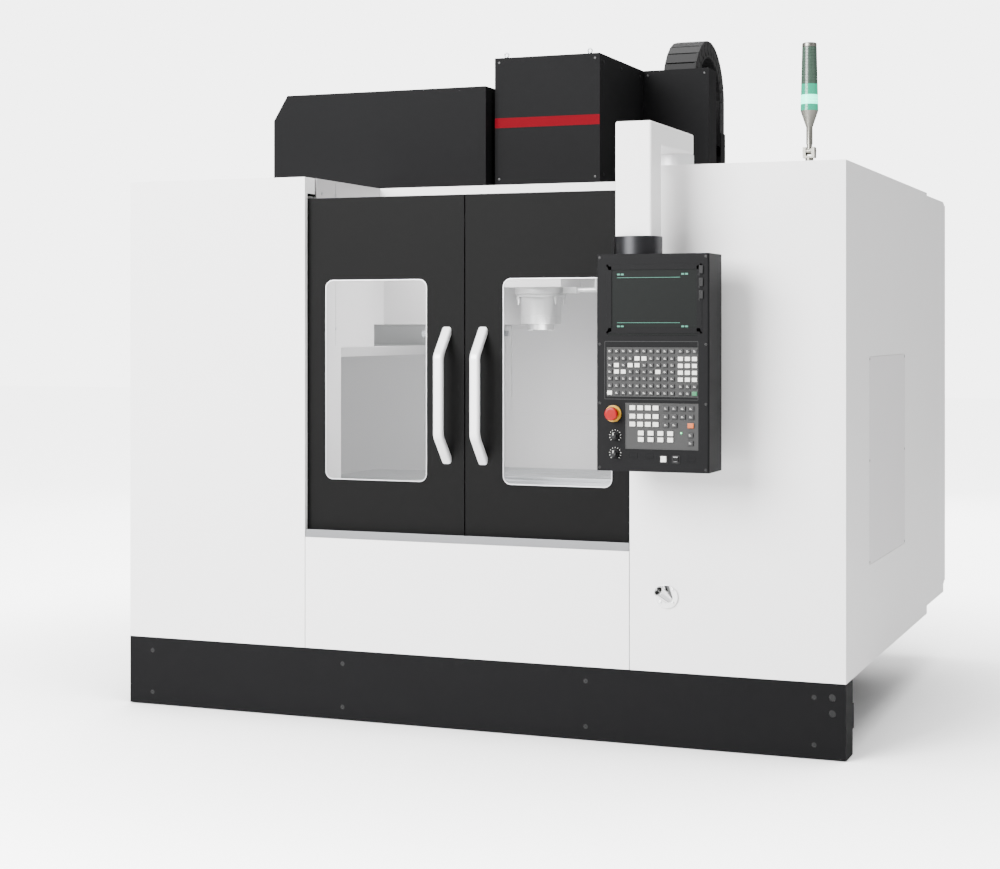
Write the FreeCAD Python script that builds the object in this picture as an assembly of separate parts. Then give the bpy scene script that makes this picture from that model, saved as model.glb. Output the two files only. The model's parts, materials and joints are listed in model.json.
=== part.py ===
"""CNC vertical machining centre: enclosure, C-frame machine, tool changer and control pendant.

Millimetres, +Z up, -Y is the operator's side. The model is drawn in a working frame whose Y
starts at the front face of the enclosure, and is moved at export so that the origin lies at
the middle of the footprint, on the floor.
"""
import FreeCAD, Part
import math
import os

V = FreeCAD.Vector
X_AXIS, Y_AXIS, Z_AXIS = V(1, 0, 0), V(0, 1, 0), V(0, 0, 1)

# ---- driving dimensions -------------------------------------------------------------------
# enclosure
HALF_W = 1277.0          # half the enclosure's width
TOP = 1850.0             # top of the enclosure
SHEET = 3.0              # sheet metal
SKIRT_TOP = 238.0        # top of the dark skirt
SKIRT_GAP = 3.0          # skirt above the floor
SKIRT_RETURN = 107.0     # depth of the skirt's end returns
OPEN_HALF = 580.0        # half the width of the door opening
SEAM = 2.0               # gap between neighbouring front panels
SIDE_DEPTH = 1570.0      # depth of the side panels
CABINET_REAR = 1991.0    # rear face of the rear cabinets
DOOR_REAR = 2048.0       # rear face of the cabinet door
CABINET_LOW, CABINET_HIGH = 268.0, TOP - 10
CABINET_INNER_X = 440.0  # inner wall of both rear cabinets
# sill and doors
SILL_Z = 617.0
SILL_LIP = 644.0
SILL_DEPTH = 77.0
DOOR_FRONT, DOOR_BACK = 25.0, 60.0
DOOR_TOP = TOP - 73
DOOR_HALF_GAP = 2.0
DOOR_OUTER = 640.0
WINDOW_X = (137.0, 515.0)
WINDOW_Z = (816.0, 1496.0)
WINDOW_R = 28.0
GLASS = 5.0
GLASS_LAP = 12.0
HANDLE_X = 65.0
HANDLE_Z = (879.0, 1336.0)
HANDLE_GRIP_Z = (975.0, 1240.0)
HANDLE_WIDTH, HANDLE_THICK = 34.0, 22.0
HANDLE_REACH = 70.0      # grip centre line in front of the door
RAIL_H = 8.0
RUN = 0.3                # clearance between parts that slide past each other
# interior
INNER_Y = SILL_DEPTH      # front edge of the inner side walls
WALL_TURN_Y = 270.0      # where the lower inner wall turns outwards
CAVITY_HALF = 1100.0     # half the width of the wide part of the work space
LEDGE_Z = 1265.0
UPPER_BACK_Y = 1280.0    # rear wall above the step
STEP_Z = 1340.0
BEAM_Y, BEAM_D, BEAM_LOW = 595.0, 35.0, TOP - 100
# machine base
BED_TOP, BED_LOW, BED_HALF, BED_WALL = 545.0, 90.0, 345.0, 40.0
BED_FRONT, BED_REAR = 90.0, 1900.0
PAN_HOLE_HALF = 335.0
FOOT_R, FOOT_H = 80.0, 30.0
RAIL_W, RAIL_TALL = 45.0, 38.0
TRUCK_W, TRUCK_TALL, TRUCK_L, TRUCK_LIFT = 100.0, 60.0, 110.0, 12.0
SCREW_R = 16.0
FIT = 0.05               # radial running clearance of shafts and screws
AXIS_Y = 760.0           # spindle axis, middle of the table
SADDLE = (480.0, 220.0, 70.0)     # half length X, half width Y, height
SADDLE_Z = BED_TOP + TRUCK_TALL
X_RAIL_Z = SADDLE_Z + SADDLE[2]
TABLE_LOW = X_RAIL_Z + TRUCK_TALL
TABLE_TOP = 800.0
TABLE_HALF = (375.0, 210.0)
Y_TRAVEL = 210.0
SLOT_W, SLOT_PITCH = 18.0, 125.0
COVER_PLATE = 3.0
# column and head
COL_FRONT, COL_REAR, COL_HALF, COL_TOP = 1300.0, 1860.0, 250.0, TOP + 400
COL_BASE_HALF, COL_BASE_TOP, TUNNEL_HALF, TUNNEL_TOP = 430.0, 760.0, 350.0, 675.0
Z_RAIL_X = 150.0
PLATE_BACK = COL_FRONT - TRUCK_TALL
PLATE_T = 60.0
BACK_Y = PLATE_BACK      # rear wall of the work space
HEAD_LOW, HEAD_HIGH = 1481.0, 1990.0
HEAD_PLATE_Z = (1620.0, 2100.0)
COVER_X = (-140.0, 265.0)
COVER_Y = (650.0, PLATE_BACK - PLATE_T - 10)
COVER_Z = (1560.0, TOP + 468)
DUCT_X1 = 526.0
DUCT_Y = (COVER_Y[1], 1275.0)
DUCT_Z = (TOP + 10, TOP + 467)
DUCT_NOTCH_Z = TOP + 390        # the chain bends away over this edge
DUCT_LAP = 20.0
CART_R, FLANGE_R, FLANGE_Z, CART_LOW = 75.0, 95.5, 1457.0, 1347.0
SHAFT_R, NOSE_R, NOSE_LOW = 40.0, 50.0, 1326.0
TAPER_R, TAPER_DEPTH = 22.225, 65.0
# cable chain
CHAIN_X = (335.0, 462.0)
CHAIN_T = 65.0
CHAIN_R = 223.5
CHAIN_Y0 = 1190.0
CHAIN_TOP = TOP + 603
CHAIN_FRONT_LOW, CHAIN_REAR_LOW = TOP + 75, TOP + 202
TROUGH_TOP, TROUGH_FRONT_TOP = TOP + 260, TOP + 165
# tool changer
ARM_REACH = 295.0
ARM_Z = (1300.0, 1322.0)
POTS, POT_RING, POT_R, POT_LEN = 20, 300.0, 30.0, 130.0
POT_Z = 1400.0
TRUNNION_R = 5.0
MAG_X = (-1023.0, -155.0)
MAG_Y = (600.0, 1160.0)
MAG_TOP, MAG_CHAMFER = TOP + 362, (57.0, 93.0)
# pendant
PEN_X = (558.0, 915.0)
PEN_Y = (-260.0, -110.0)
PEN_Z = (TOP - 956, TOP - 291)
PIVOT = (668.0, -183.0)      # pendant swivel
ARM_PIVOT = (671.0, 215.0)   # arm swivel on the roof
ARM_PIN_R = 22.0
ARM_X = (610.0, 727.0)
LEG_Y = (-238.0, -128.0)
LEG_LOW, ARM_LOW, ARM_HIGH, ARM_REAR = TOP - 235, TOP + 50, TOP + 119, 242.0
SWIVEL_R = 75.0
SCREEN_X, SCREEN_Z = (616.0, 857.0), (PEN_Z[0] + 434, PEN_Z[0] + 612)
ESTOP = (613.0, PEN_Z[0] + 176)
KNOBS = ((618.0, PEN_Z[0] + 108), (618.0, PEN_Z[0] + 54))
BUTTONS = ((773.0, PEN_Z[0] + 40), (811.0, PEN_Z[0] + 40))
KEYS_X, KEYS_Z = (590.0, 882.0), (PEN_Z[0] + 228, PEN_Z[0] + 380)      # upper key mat
KEYS2_X, KEYS2_Z = (650.0, 882.0), (PEN_Z[0] + 68, PEN_Z[0] + 210)     # lower key mat
KEY_PITCH = 22.0
# light and outlet
LIGHT = (HALF_W - 146, 150.0)
OUTLET = (706.0, 479.0)

PENDANT_PROUD = 292.0        # how far the emergency stop stands in front of the enclosure
SHIFT = V(0, -(DOOR_REAR - PENDANT_PROUD) / 2, 0)


# ---- helpers ------------------------------------------------------------------------------
def box(x, y, z):
    """A block from three (low, high) pairs."""
    return Part.makeBox(x[1] - x[0], y[1] - y[0], z[1] - z[0], V(x[0], y[0], z[0]))


def cyl(radius, start, length, axis=Z_AXIS):
    """A solid cylinder from its start point along an axis."""
    return Part.makeCylinder(radius, length, V(*start), axis)


def prism(points, direction):
    """A closed outline of 3-D points, extruded."""
    wire = Part.makePolygon([V(*p) for p in points] + [V(*points[0])])
    return Part.Face(wire).extrude(V(*direction))


def fuse(*shapes):
    """One solid from touching or overlapping solids."""
    first, rest = shapes[0], list(shapes[1:])
    return first.multiFuse(rest).removeSplitter() if rest else first


def mirrored(shape):
    """The same piece on the other side of the machine."""
    return shape.mirror(V(0, 0, 0), X_AXIS)


def moved(shape, x=0.0, y=0.0, z=0.0):
    """A copy of a piece, shifted."""
    copy = shape.copy()
    copy.translate(V(x, y, z))
    return copy


def rounded_cut(x, z, y0, depth, radius):
    """A rounded rectangle in the X-Z plane, extruded along Y."""
    body = box(x, (y0, y0 + depth), z)
    edges = [e for e in body.Edges if abs(e.tangentAt(e.FirstParameter).y) > 0.9]
    return body.makeFillet(radius, edges)


def fillet_edges(shape, radius, pick):
    """Round the edges that pick() chooses."""
    return shape.makeFillet(radius, [e for e in shape.Edges if pick(e)])


def shell_box(x, y, z, wall, open_faces=()):
    """A sheet box; open_faces names sides left out: x0 x1 y0 y1 z0 z1."""
    inner = [[x[0] + wall, x[1] - wall], [y[0] + wall, y[1] - wall], [z[0] + wall, z[1] - wall]]
    for name in open_faces:
        axis, side = "xyz".index(name[0]), int(name[1])
        inner[axis][side] += wall * (2 if side else -2)
    return box(x, y, z).cut(box(*inner))


def save(name, *shapes):
    """Write one node: its solids, moved into the part's frame."""
    solids = [s for shape in shapes for s in shape.Solids]
    out = solids[0].copy() if len(solids) == 1 else Part.makeCompound([s.copy() for s in solids])
    out.translate(SHIFT)
    out.exportStep(f"parts/{name}.step")
    print(name, len(solids), "solids", round(sum(s.Volume for s in solids) / 1e6, 2), "dm3")


# ---- enclosure ----------------------------------------------------------------------------
SCREW_HEAD_R, SCREW_SHANK_R = 8.0, 4.5
PLUG_R = 11.0
SKIRT_SCREW_X = (-HALF_W + 92, -439.0, 433.0, HALF_W - 99)
SKIRT_SCREW_Z = (45.0, 192.0)
PLUG_X, PLUG_Z = HALF_W - 42, (145.0, 194.0)
ACCESS_Y, ACCESS_Z, ACCESS_LEDGE, ACCESS_GAP = (385.0, 1071.0), (560.0, 1240.0), 15.0, 1.5


def countersunk(radius, shank, length):
    """A countersunk screw along +Y, its head face at Y = 0."""
    head = Part.makeCone(radius, shank, SHEET, V(0, 0, 0), Y_AXIS)
    return fuse(head, cyl(shank, (0, SHEET, 0), length, Y_AXIS))


def skirt_fixings(grow):
    """Skirt screws and plugs; a positive grow makes the holes that they sit in."""
    out = []
    for x in SKIRT_SCREW_X:
        for z in SKIRT_SCREW_Z:
            screw = countersunk(SCREW_HEAD_R + grow, SCREW_SHANK_R + grow, 12.0)
            out.append(moved(screw, x, 0, z))
    for z in PLUG_Z:
        out.append(cyl(PLUG_R + grow, (PLUG_X, 0.8, z), 9.0, Y_AXIS))
        if grow:
            out.append(cyl(PLUG_R + grow, (PLUG_X, -1, z), 4.0, Y_AXIS))
    return out


def access_fixings(grow):
    """Screws of the side access cover, heads flush with its outer face."""
    out = []
    inset = 9.0
    rows = (ACCESS_Z[0] + inset, sum(ACCESS_Z) / 2, ACCESS_Z[1] - inset)
    for y in (ACCESS_Y[0] + inset, ACCESS_Y[1] - inset):
        for z in rows:
            screw = countersunk(5.0 + grow, 2.5 + grow, 6.0)
            screw.rotate(V(0, 0, 0), Z_AXIS, 90)
            out.append(moved(screw, HALF_W, y, z))
    return out


def front_panels():
    """Left and right front panels and the lower centre panel, each a folded sheet."""
    inner = OPEN_HALF + SEAM
    face = box((inner, HALF_W), (0, SHEET), (SKIRT_TOP, TOP))
    lip = box((inner, inner + SHEET), (SHEET, DOOR_FRONT - 5), (SKIRT_TOP, TOP))
    bridge = box((inner, inner + SHEET), (DOOR_FRONT - 5, INNER_Y), (DOOR_TOP + 18, TOP))
    right = fuse(face, lip, bridge)
    left = mirrored(right)
    right = right.cut(cyl(OUTLET_BORE_R, (OUTLET[0], -1, OUTLET[1]), 10, Y_AXIS))
    low = fuse(box((-OPEN_HALF, OPEN_HALF), (0, SHEET), (SKIRT_TOP, SILL_Z)),
               box((-OPEN_HALF, OPEN_HALF), (SHEET, SILL_DEPTH - SHEET), (SILL_Z - SHEET, SILL_Z)))
    return left, right, low


def side_and_roof():
    """Side panels, the L-shaped left roof, the right roof and the header beam."""
    side = box((HALF_W - SHEET, HALF_W), (SHEET, SIDE_DEPTH), (SKIRT_TOP, TOP))
    left = mirrored(side)
    hole = box((HALF_W - 5, HALF_W + 5), ACCESS_Y, ACCESS_Z)
    ledge_y = (ACCESS_Y[0] - ACCESS_LEDGE, ACCESS_Y[1] + ACCESS_LEDGE)
    ledge_z = (ACCESS_Z[0] - ACCESS_LEDGE, ACCESS_Z[1] + ACCESS_LEDGE)
    ledge = box((HALF_W - 2 * SHEET, HALF_W - SHEET), ledge_y, ledge_z)
    window = box((HALF_W - 20, HALF_W), (ACCESS_Y[0] + ACCESS_LEDGE, ACCESS_Y[1] - ACCESS_LEDGE),
                 (ACCESS_Z[0] + ACCESS_LEDGE, ACCESS_Z[1] - ACCESS_LEDGE))
    right = fuse(side.cut(hole), ledge.cut(window)).cut(fuse(*access_fixings(0.1)))
    roof_z = (TOP - SHEET, TOP)
    edge = HALF_W - SHEET
    roof_right = box((OPEN_HALF + SEAM + SHEET, edge), (SHEET, SIDE_DEPTH), roof_z)
    roof_left = mirrored(roof_right).cut(box((MAG_X[0], 0), (MAG_Y[0] - 5, SIDE_DEPTH + 1), (0, TOP + 1)))
    roof_right = roof_right.cut(cyl(ARM_PIN_R + FIT, (*ARM_PIVOT, TOP - 10), 20))
    beam = fuse(box((-WALL_X, WALL_X), (BEAM_Y, BEAM_Y + SHEET), (BEAM_LOW, TOP)),
                box((-WALL_X, WALL_X), (BEAM_Y, BEAM_Y + BEAM_D), (TOP - SHEET, TOP)),
                box((-WALL_X, WALL_X), (BEAM_Y, BEAM_Y + BEAM_D), (BEAM_LOW, BEAM_LOW + SHEET)))
    return left, right, roof_left, roof_right, beam


WALL_X = OPEN_HALF - 3.0     # visible face of the inner side walls
OUTLET_BORE_R = 22.0


def interior_panels():
    """Inner side walls, the widened lower cavity, its ledge, the rear wall and the chip pan."""
    pan_z = BED_TOP + SHEET
    wall_x = (WALL_X, WALL_X + SHEET)
    notch_y = 545.0
    wall = fuse(box(wall_x, (INNER_Y, notch_y), (LEDGE_Z, TOP)),
                box(wall_x, (notch_y, BEAM_Y + BEAM_D), (STEP_Z + 5, TOP)),
                box(wall_x, (INNER_Y, WALL_TURN_Y), (pan_z, LEDGE_Z)))
    ledge_low = LEDGE_Z - SHEET
    turn = WALL_TURN_Y
    ledge = fuse(box((WALL_X + SHEET, CAVITY_HALF), (turn, BACK_Y), (ledge_low, LEDGE_Z)),
                 prism([(WALL_X + SHEET, turn, LEDGE_Z), (WALL_X + SHEET, turn, ledge_low),
                        (WALL_X + 40, turn, ledge_low - 34), (WALL_X + 44, turn, ledge_low - 32)],
                       (0, BACK_Y - turn, 0)))
    cavity = fuse(box((WALL_X + SHEET, CAVITY_HALF + SHEET), (turn - SHEET, turn), (pan_z, LEDGE_Z)),
                  box((CAVITY_HALF, CAVITY_HALF + SHEET), (turn - SHEET, BACK_Y + SHEET), (pan_z, LEDGE_Z)),
                  box((GUARD_X, CAVITY_HALF + SHEET), (BACK_Y, BACK_Y + SHEET), (pan_z, STEP_Z)),
                  box((GUARD_X, CAVITY_HALF + SHEET), (BACK_Y, UPPER_BACK_Y), (STEP_Z - SHEET, STEP_Z)),
                  box((GUARD_X, CAVITY_HALF + SHEET), (UPPER_BACK_Y, UPPER_BACK_Y + SHEET),
                      (STEP_Z - SHEET, TOP - SHEET)))
    cavity = cavity.cut(box((0, PAN_HOLE_HALF), (BACK_Y - 1, BACK_Y + SHEET + 1), (pan_z - 1, Z_COVER_LOW)))
    pan = fuse(box((-CAVITY_HALF - SHEET, CAVITY_HALF + SHEET), (SILL_DEPTH - SHEET, BACK_Y + SHEET),
                   (BED_TOP, pan_z)),
               box((-OPEN_HALF + SHEET, OPEN_HALF - SHEET), (SILL_DEPTH - SHEET, SILL_DEPTH),
                   (pan_z, SILL_Z)))
    pan = pan.cut(box((-PAN_HOLE_HALF, PAN_HOLE_HALF), (BED_FRONT, BACK_Y + 10), (BED_TOP - 1, pan_z + 1)))
    right = [wall, ledge, cavity]
    return [mirrored(s) for s in right] + right + [pan]


def front_skirt():
    """Folded skirt with end returns and holes for its screws and plugs."""
    face = box((-HALF_W, HALF_W), (0, SHEET), (SKIRT_GAP, SKIRT_TOP))
    end = box((HALF_W - SHEET, HALF_W), (SHEET, SKIRT_RETURN), (SKIRT_GAP, SKIRT_TOP))
    return fuse(face, end, mirrored(end)).cut(Part.makeCompound(skirt_fixings(0.1)))


def rear_cabinets():
    """Electrical cabinet on the right, open at the rear for its door, and the service cabinet."""
    x = (CABINET_INNER_X, HALF_W)
    y = (SIDE_DEPTH, CABINET_REAR)
    z = (CABINET_LOW, CABINET_HIGH)
    right = shell_box(x, y, z, SHEET)
    mouth = box((x[0] + 30, x[1] - 30), (y[1] - 5, y[1] + 5), (z[0] + 30, z[1] - 30))
    tab = box((HINGE_X - 14, HALF_W), (y[1], y[1] + 20), (0, 6))
    pin = cyl(HINGE_PIN_R, (HINGE_X, HINGE_Y, 6), 18)
    low = fuse(tab, pin)
    high = mirror_z(low, sum(CAB_DOOR_Z) / 2 - (CAB_DOOR_Z[0] - 6 - RUN))
    low = moved(low, z=CAB_DOOR_Z[0] - 6 - RUN)
    high = moved(high, z=CAB_DOOR_Z[0] - 6 - RUN)
    right = fuse(right.cut(mouth), low, high)
    left = shell_box((-HALF_W, -CABINET_INNER_X), (SIDE_DEPTH, DOOR_REAR), z, SHEET)
    return right, left


def mirror_z(shape, height):
    """A copy mirrored about a horizontal plane."""
    return shape.mirror(V(0, 0, height), Z_AXIS)


HINGE_X, HINGE_Y, HINGE_PIN_R = HALF_W - 9, 2002.0, 4.0
CAB_DOOR_Z = (308.0, TOP - 22)
CAB_DOOR_Y0 = 1995.0


def cabinet_door():
    """Folded door pan with a block at each hinge corner."""
    x = (CABINET_INNER_X + 5, HALF_W - 2)
    pan = shell_box(x, (CAB_DOOR_Y0, DOOR_REAR), CAB_DOOR_Z, SHEET, ("y0",))
    blocks = [box((HINGE_X - 14, x[1]), (CAB_DOOR_Y0, CAB_DOOR_Y0 + 24), z)
              for z in ((CAB_DOOR_Z[0], CAB_DOOR_Z[0] + 26), (CAB_DOOR_Z[1] - 26, CAB_DOOR_Z[1]))]
    bore = cyl(HINGE_PIN_R + FIT, (HINGE_X, HINGE_Y, CAB_DOOR_Z[0] - 1),
               CAB_DOOR_Z[1] - CAB_DOOR_Z[0] + 2)
    return fuse(pan, *blocks).cut(bore)


def sill_and_rails():
    """Sill channel with its front lip, the lower rail in it and the upper guide rail."""
    x = (-OPEN_HALF, OPEN_HALF)
    sill = fuse(box(x, (0, SILL_DEPTH), (SILL_Z, SILL_Z + SHEET)),
                box(x, (0, SHEET), (SILL_Z, SILL_LIP)),
                box(x, (SILL_DEPTH - SHEET, SILL_DEPTH), (SILL_Z, SILL_LIP)))
    span = (-HALF_W + SHEET, HALF_W - SHEET)
    low = box(span, (DOOR_FRONT + 10, DOOR_FRONT + 22), (SILL_Z + SHEET, SILL_Z + SHEET + RAIL_H))
    guide_y = DOOR_BACK + RUN
    high = box(span, (guide_y, guide_y + 12), (DOOR_TOP - 42, DOOR_TOP - 17))
    return sill, low, high


DOOR_LOW = SILL_Z + SHEET + RAIL_H + RUN


def door_panel():
    """Right-hand sliding door: a sheet pan with a rounded window."""
    x = (DOOR_HALF_GAP, DOOR_OUTER)
    pan = shell_box(x, (DOOR_FRONT, DOOR_BACK), (DOOR_LOW, DOOR_TOP), SHEET, ("y1",))
    return pan.cut(rounded_cut(WINDOW_X, WINDOW_Z, DOOR_FRONT - 1, 10, WINDOW_R))


def door_glass():
    """Right-hand window pane, seated behind the door sheet."""
    x = (WINDOW_X[0] - GLASS_LAP, WINDOW_X[1] + GLASS_LAP)
    z = (WINDOW_Z[0] - GLASS_LAP, WINDOW_Z[1] + GLASS_LAP)
    return rounded_cut(x, z, DOOR_FRONT + SHEET, GLASS, WINDOW_R)


def door_handle():
    """Flat-oval bar handle whose ends slant back to the door."""
    half = HANDLE_THICK / 2
    reach, door = DOOR_FRONT - HANDLE_REACH, DOOR_FRONT
    low, high = HANDLE_Z
    grip_low, grip_high = HANDLE_GRIP_Z
    slope = math.atan2(HANDLE_REACH, grip_low - low - half)
    lean = half * math.tan(slope / 2)
    foot = HANDLE_THICK / math.sin(slope)
    outer = [(door, low), (reach - half, grip_low - lean), (reach - half, grip_high + lean), (door, high)]
    inner = [(door, high - foot), (reach + half, grip_high - lean),
             (reach + half, grip_low + lean), (door, low + foot)]
    bar = prism([(HANDLE_X - HANDLE_WIDTH / 2, y, z) for y, z in outer + inner], (HANDLE_WIDTH, 0, 0))
    bar = fillet_edges(bar, 40.0, lambda e: abs(e.BoundBox.XLength - HANDLE_WIDTH) < 0.01
                       and e.BoundBox.YMax < 0)
    return fillet_edges(bar, 9.0, lambda e: e.BoundBox.XLength < 0.01 and e.BoundBox.YMin < door - 1)


# ---- machine base -------------------------------------------------------------------------
def bed():
    """Cast bed with three hollow bays, core holes in its sides, wider at the rear under the column."""
    body = fuse(box((-BED_HALF, BED_HALF), (BED_FRONT, BED_REAR), (BED_LOW, BED_TOP)),
                box((-COL_BASE_HALF, COL_BASE_HALF), (COL_FRONT - 10, BED_REAR), (BED_LOW, BED_TOP)))
    wall = BED_WALL
    hollows = []
    bays = ((BED_FRONT + wall, 620.0), (620.0 + wall, 1250.0), (1250.0 + wall, BED_REAR - wall))
    for y in bays:
        hollows.append(box((-BED_HALF + wall, BED_HALF - wall), y, (BED_LOW + FOOT_PLATE, BED_TOP - wall)))
        middle = (y[0] + y[1]) / 2
        hollows.append(cyl(CORE_R, (-COL_BASE_HALF - 1, middle, CORE_Z), 2 * COL_BASE_HALF + 2, X_AXIS))
    pocket = box((-60, 60), (COL_FRONT + 20, COL_FRONT + 230), (SCREW_Z_Y - 50, BED_TOP + 1))
    return body.cut(Part.makeCompound(hollows)).cut(pocket)


FOOT_PLATE = 30.0
CORE_R, CORE_Z = 60.0, 320.0     # core holes through the bed walls
SCREW_Z_Y = BED_TOP + 27.0           # height of the Y screw
SCREW_Z_X = X_RAIL_Z + 24.0          # height of the X screw
SCREW_Y_Z = COL_FRONT - 32.0         # depth of the Z screw


def feet():
    """Levelling pads with their studs, one solid each."""
    out = []
    for x in (-BED_HALF + 60, BED_HALF - 60):
        for y in (BED_FRONT + 120, 1000.0, BED_REAR - 60):
            pad = Part.makeCone(FOOT_R, FOOT_R - 12, FOOT_H, V(x, y, 0))
            out.append(fuse(pad, cyl(18, (x, y, FOOT_H), BED_LOW - FOOT_H),
                            cyl(32, (x, y, BED_LOW - 20), 20)))
    return out


def column():
    """Cast column on a wide foot, hollow, with a tunnel for the rear way cover."""
    foot = box((-COL_BASE_HALF, COL_BASE_HALF), (COL_FRONT, COL_REAR), (BED_TOP, COL_BASE_TOP))
    shoulder = prism([(-COL_BASE_HALF, COL_FRONT, COL_BASE_TOP), (COL_BASE_HALF, COL_FRONT, COL_BASE_TOP),
                      (COL_HALF, COL_FRONT, COL_BASE_TOP + 180), (-COL_HALF, COL_FRONT, COL_BASE_TOP + 180)],
                     (0, COL_REAR - COL_FRONT, 0))
    shaft = box((-COL_HALF, COL_HALF), (COL_FRONT, COL_REAR), (COL_BASE_TOP, COL_TOP))
    tunnel = box((-TUNNEL_HALF, TUNNEL_HALF), (COL_FRONT - 1, COL_REAR + 1), (BED_TOP - 1, TUNNEL_TOP))
    wall = 45.0
    core = box((-COL_HALF + wall, COL_HALF - wall), (COL_FRONT + wall, COL_REAR - wall),
               (TUNNEL_TOP + wall, COL_TOP - wall))
    window = box((-90, 90), (COL_REAR - wall - 1, COL_REAR + 1), (1100, 1500))
    return fuse(foot, shoulder, shaft).cut(Part.makeCompound([tunnel, core, window]))


def rail(length):
    """Linear guide rail along +X, sitting on Z = 0."""
    return box((0, length), (-RAIL_W / 2, RAIL_W / 2), (0, RAIL_TALL))


def truck():
    """Guide truck centred on X = 0, straddling a rail that sits on Z = 0."""
    half = TRUCK_L / 2
    slot = RAIL_W / 2 + RUN
    body = box((-half, half), (-TRUCK_W / 2, TRUCK_W / 2), (TRUCK_LIFT, TRUCK_TALL))
    return body.cut(box((-half - 1, half + 1), (-slot, slot), (0, RAIL_TALL + RUN)))


def turned(shape, axis, angle):
    """A rotated copy about the origin."""
    copy = shape.copy()
    copy.rotate(V(0, 0, 0), axis, angle)
    return copy


def bearing_block(axis_z, y, x=0.0, wide=90.0, thick=40.0, base=0.0):
    """End bearing housing of a horizontal screw along Y, standing on base."""
    body = box((x - wide / 2, x + wide / 2), (y, y + thick), (base, axis_z + 26))
    return body.cut(cyl(SCREW_R + FIT, (x, y - 1, axis_z), thick + 2, Y_AXIS))


Y_RAIL_X, Y_TRUCK_Y = 230.0, 150.0
X_RAIL_Y, X_TRUCK_X = 150.0, 110.0
Z_TRUCKS = (1700.0, 2010.0)


def machine_guides():
    """Y rails and screw bearings on the bed, Z rails and screw bearings on the column."""
    out = []
    y_rail = turned(rail(910.0), Z_AXIS, 90)
    z_rail = turned(turned(rail(1120.0), X_AXIS, 90), Y_AXIS, -90)
    for side in (-1, 1):
        out.append(moved(y_rail, side * Y_RAIL_X, 325, BED_TOP))
        out.append(moved(z_rail, side * Z_RAIL_X, COL_FRONT, 1090))
    for y in (140.0, 1290.0):
        out.append(bearing_block(SCREW_Z_Y, y, base=BED_TOP))
    for z in (1090.0, 2180.0):
        block = box((-45, 45), (SCREW_Y_Z - 26, COL_FRONT), (z, z + 40))
        out.append(block.cut(cyl(SCREW_R + FIT, (0, SCREW_Y_Z, z - 1), 42)))
    return out


def motor(length, size):
    """Servo motor body along +Z from its mounting flange, with a connector box."""
    half = size / 2
    body = box((-half * 0.88, half * 0.88), (-half * 0.88, half * 0.88), (10, length))
    flange = box((-half, half), (-half, half), (0, 12))
    plug = box((-14, 14), (half * 0.88, half * 0.88 + 22), (length - 45, length - 15))
    return fuse(fillet_edges(body, 8.0, lambda e: e.BoundBox.ZLength > length - 12), flange, plug)


def axis_motors():
    """Y motor behind its bearing in the column tunnel, Z motor on top of its bracket."""
    y_motor = moved(turned(turned(motor(170.0, 90.0), Z_AXIS, 180), X_AXIS, -90), 0, 1330.0, SCREW_Z_Y)
    z_motor = moved(motor(120.0, 120.0), 0, SCREW_Y_Z, COL_TOP + 12)
    bracket = box((-75, 75), (SCREW_Y_Z - 62, COL_FRONT + 120), (COL_TOP, COL_TOP + 12))
    bracket = bracket.cut(cyl(SCREW_R + 4, (0, SCREW_Y_Z, COL_TOP - 1), 14))
    return y_motor, z_motor, bracket


def screw_y():
    """Y ball screw."""
    return cyl(SCREW_R, (0, 135, SCREW_Z_Y), 1190, Y_AXIS)


def screw_x():
    """X ball screw, carried by the saddle."""
    return cyl(SCREW_R, (-SADDLE[0] + 5, AXIS_Y, SCREW_Z_X), 2 * SADDLE[0] - 10, X_AXIS)


def screw_z():
    """Z ball screw, hanging from the motor bracket."""
    return cyl(SCREW_R, (0, SCREW_Y_Z, 1085), COL_TOP + 8 - 1085)


def nut_block(base, axis_height, along):
    """Ball nut housing under a moving part: local X along the screw, hanging from Z = base."""
    body = box((-45, 45), (-38, 38), (axis_height - 21, base))
    hole = cyl(SCREW_R + FIT, (-46, 0, axis_height), 92, X_AXIS)
    return turned(body.cut(hole), Z_AXIS, along)


def saddle():
    """Cross saddle casting with the Y nut housing below."""
    half_x, half_y, tall = SADDLE
    body = box((-half_x, half_x), (AXIS_Y - half_y, AXIS_Y + half_y), (SADDLE_Z, SADDLE_Z + tall))
    body = body.cut(box((-half_x + 60, half_x - 60), (AXIS_Y - 60, AXIS_Y + 60),
                        (SADDLE_Z + 30, SADDLE_Z + tall + 1)))
    nut = moved(nut_block(SADDLE_Z, SCREW_Z_Y, 90), 0, AXIS_Y)
    return fuse(body, nut)


def saddle_guides():
    """Y trucks below the saddle; X rails, screw bearings and X motor on it."""
    out = []
    y_truck = turned(truck(), Z_AXIS, 90)
    for x in (-Y_RAIL_X, Y_RAIL_X):
        for y in (AXIS_Y - Y_TRUCK_Y, AXIS_Y + Y_TRUCK_Y):
            out.append(moved(y_truck, x, y, BED_TOP))
    for y in (AXIS_Y - X_RAIL_Y, AXIS_Y + X_RAIL_Y):
        out.append(moved(rail(2 * SADDLE[0]), -SADDLE[0], y, X_RAIL_Z))
    for x in (-SADDLE[0] + 35, SADDLE[0]):
        block = turned(bearing_block(SCREW_Z_X, 0, base=X_RAIL_Z, thick=35.0, wide=80.0), Z_AXIS, 90)
        out.append(moved(block, x, AXIS_Y, 0))
    x_motor = turned(motor(150.0, 70.0), Y_AXIS, 90)
    out.append(moved(x_motor, SADDLE[0], AXIS_Y, SCREW_Z_X))
    return out


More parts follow.
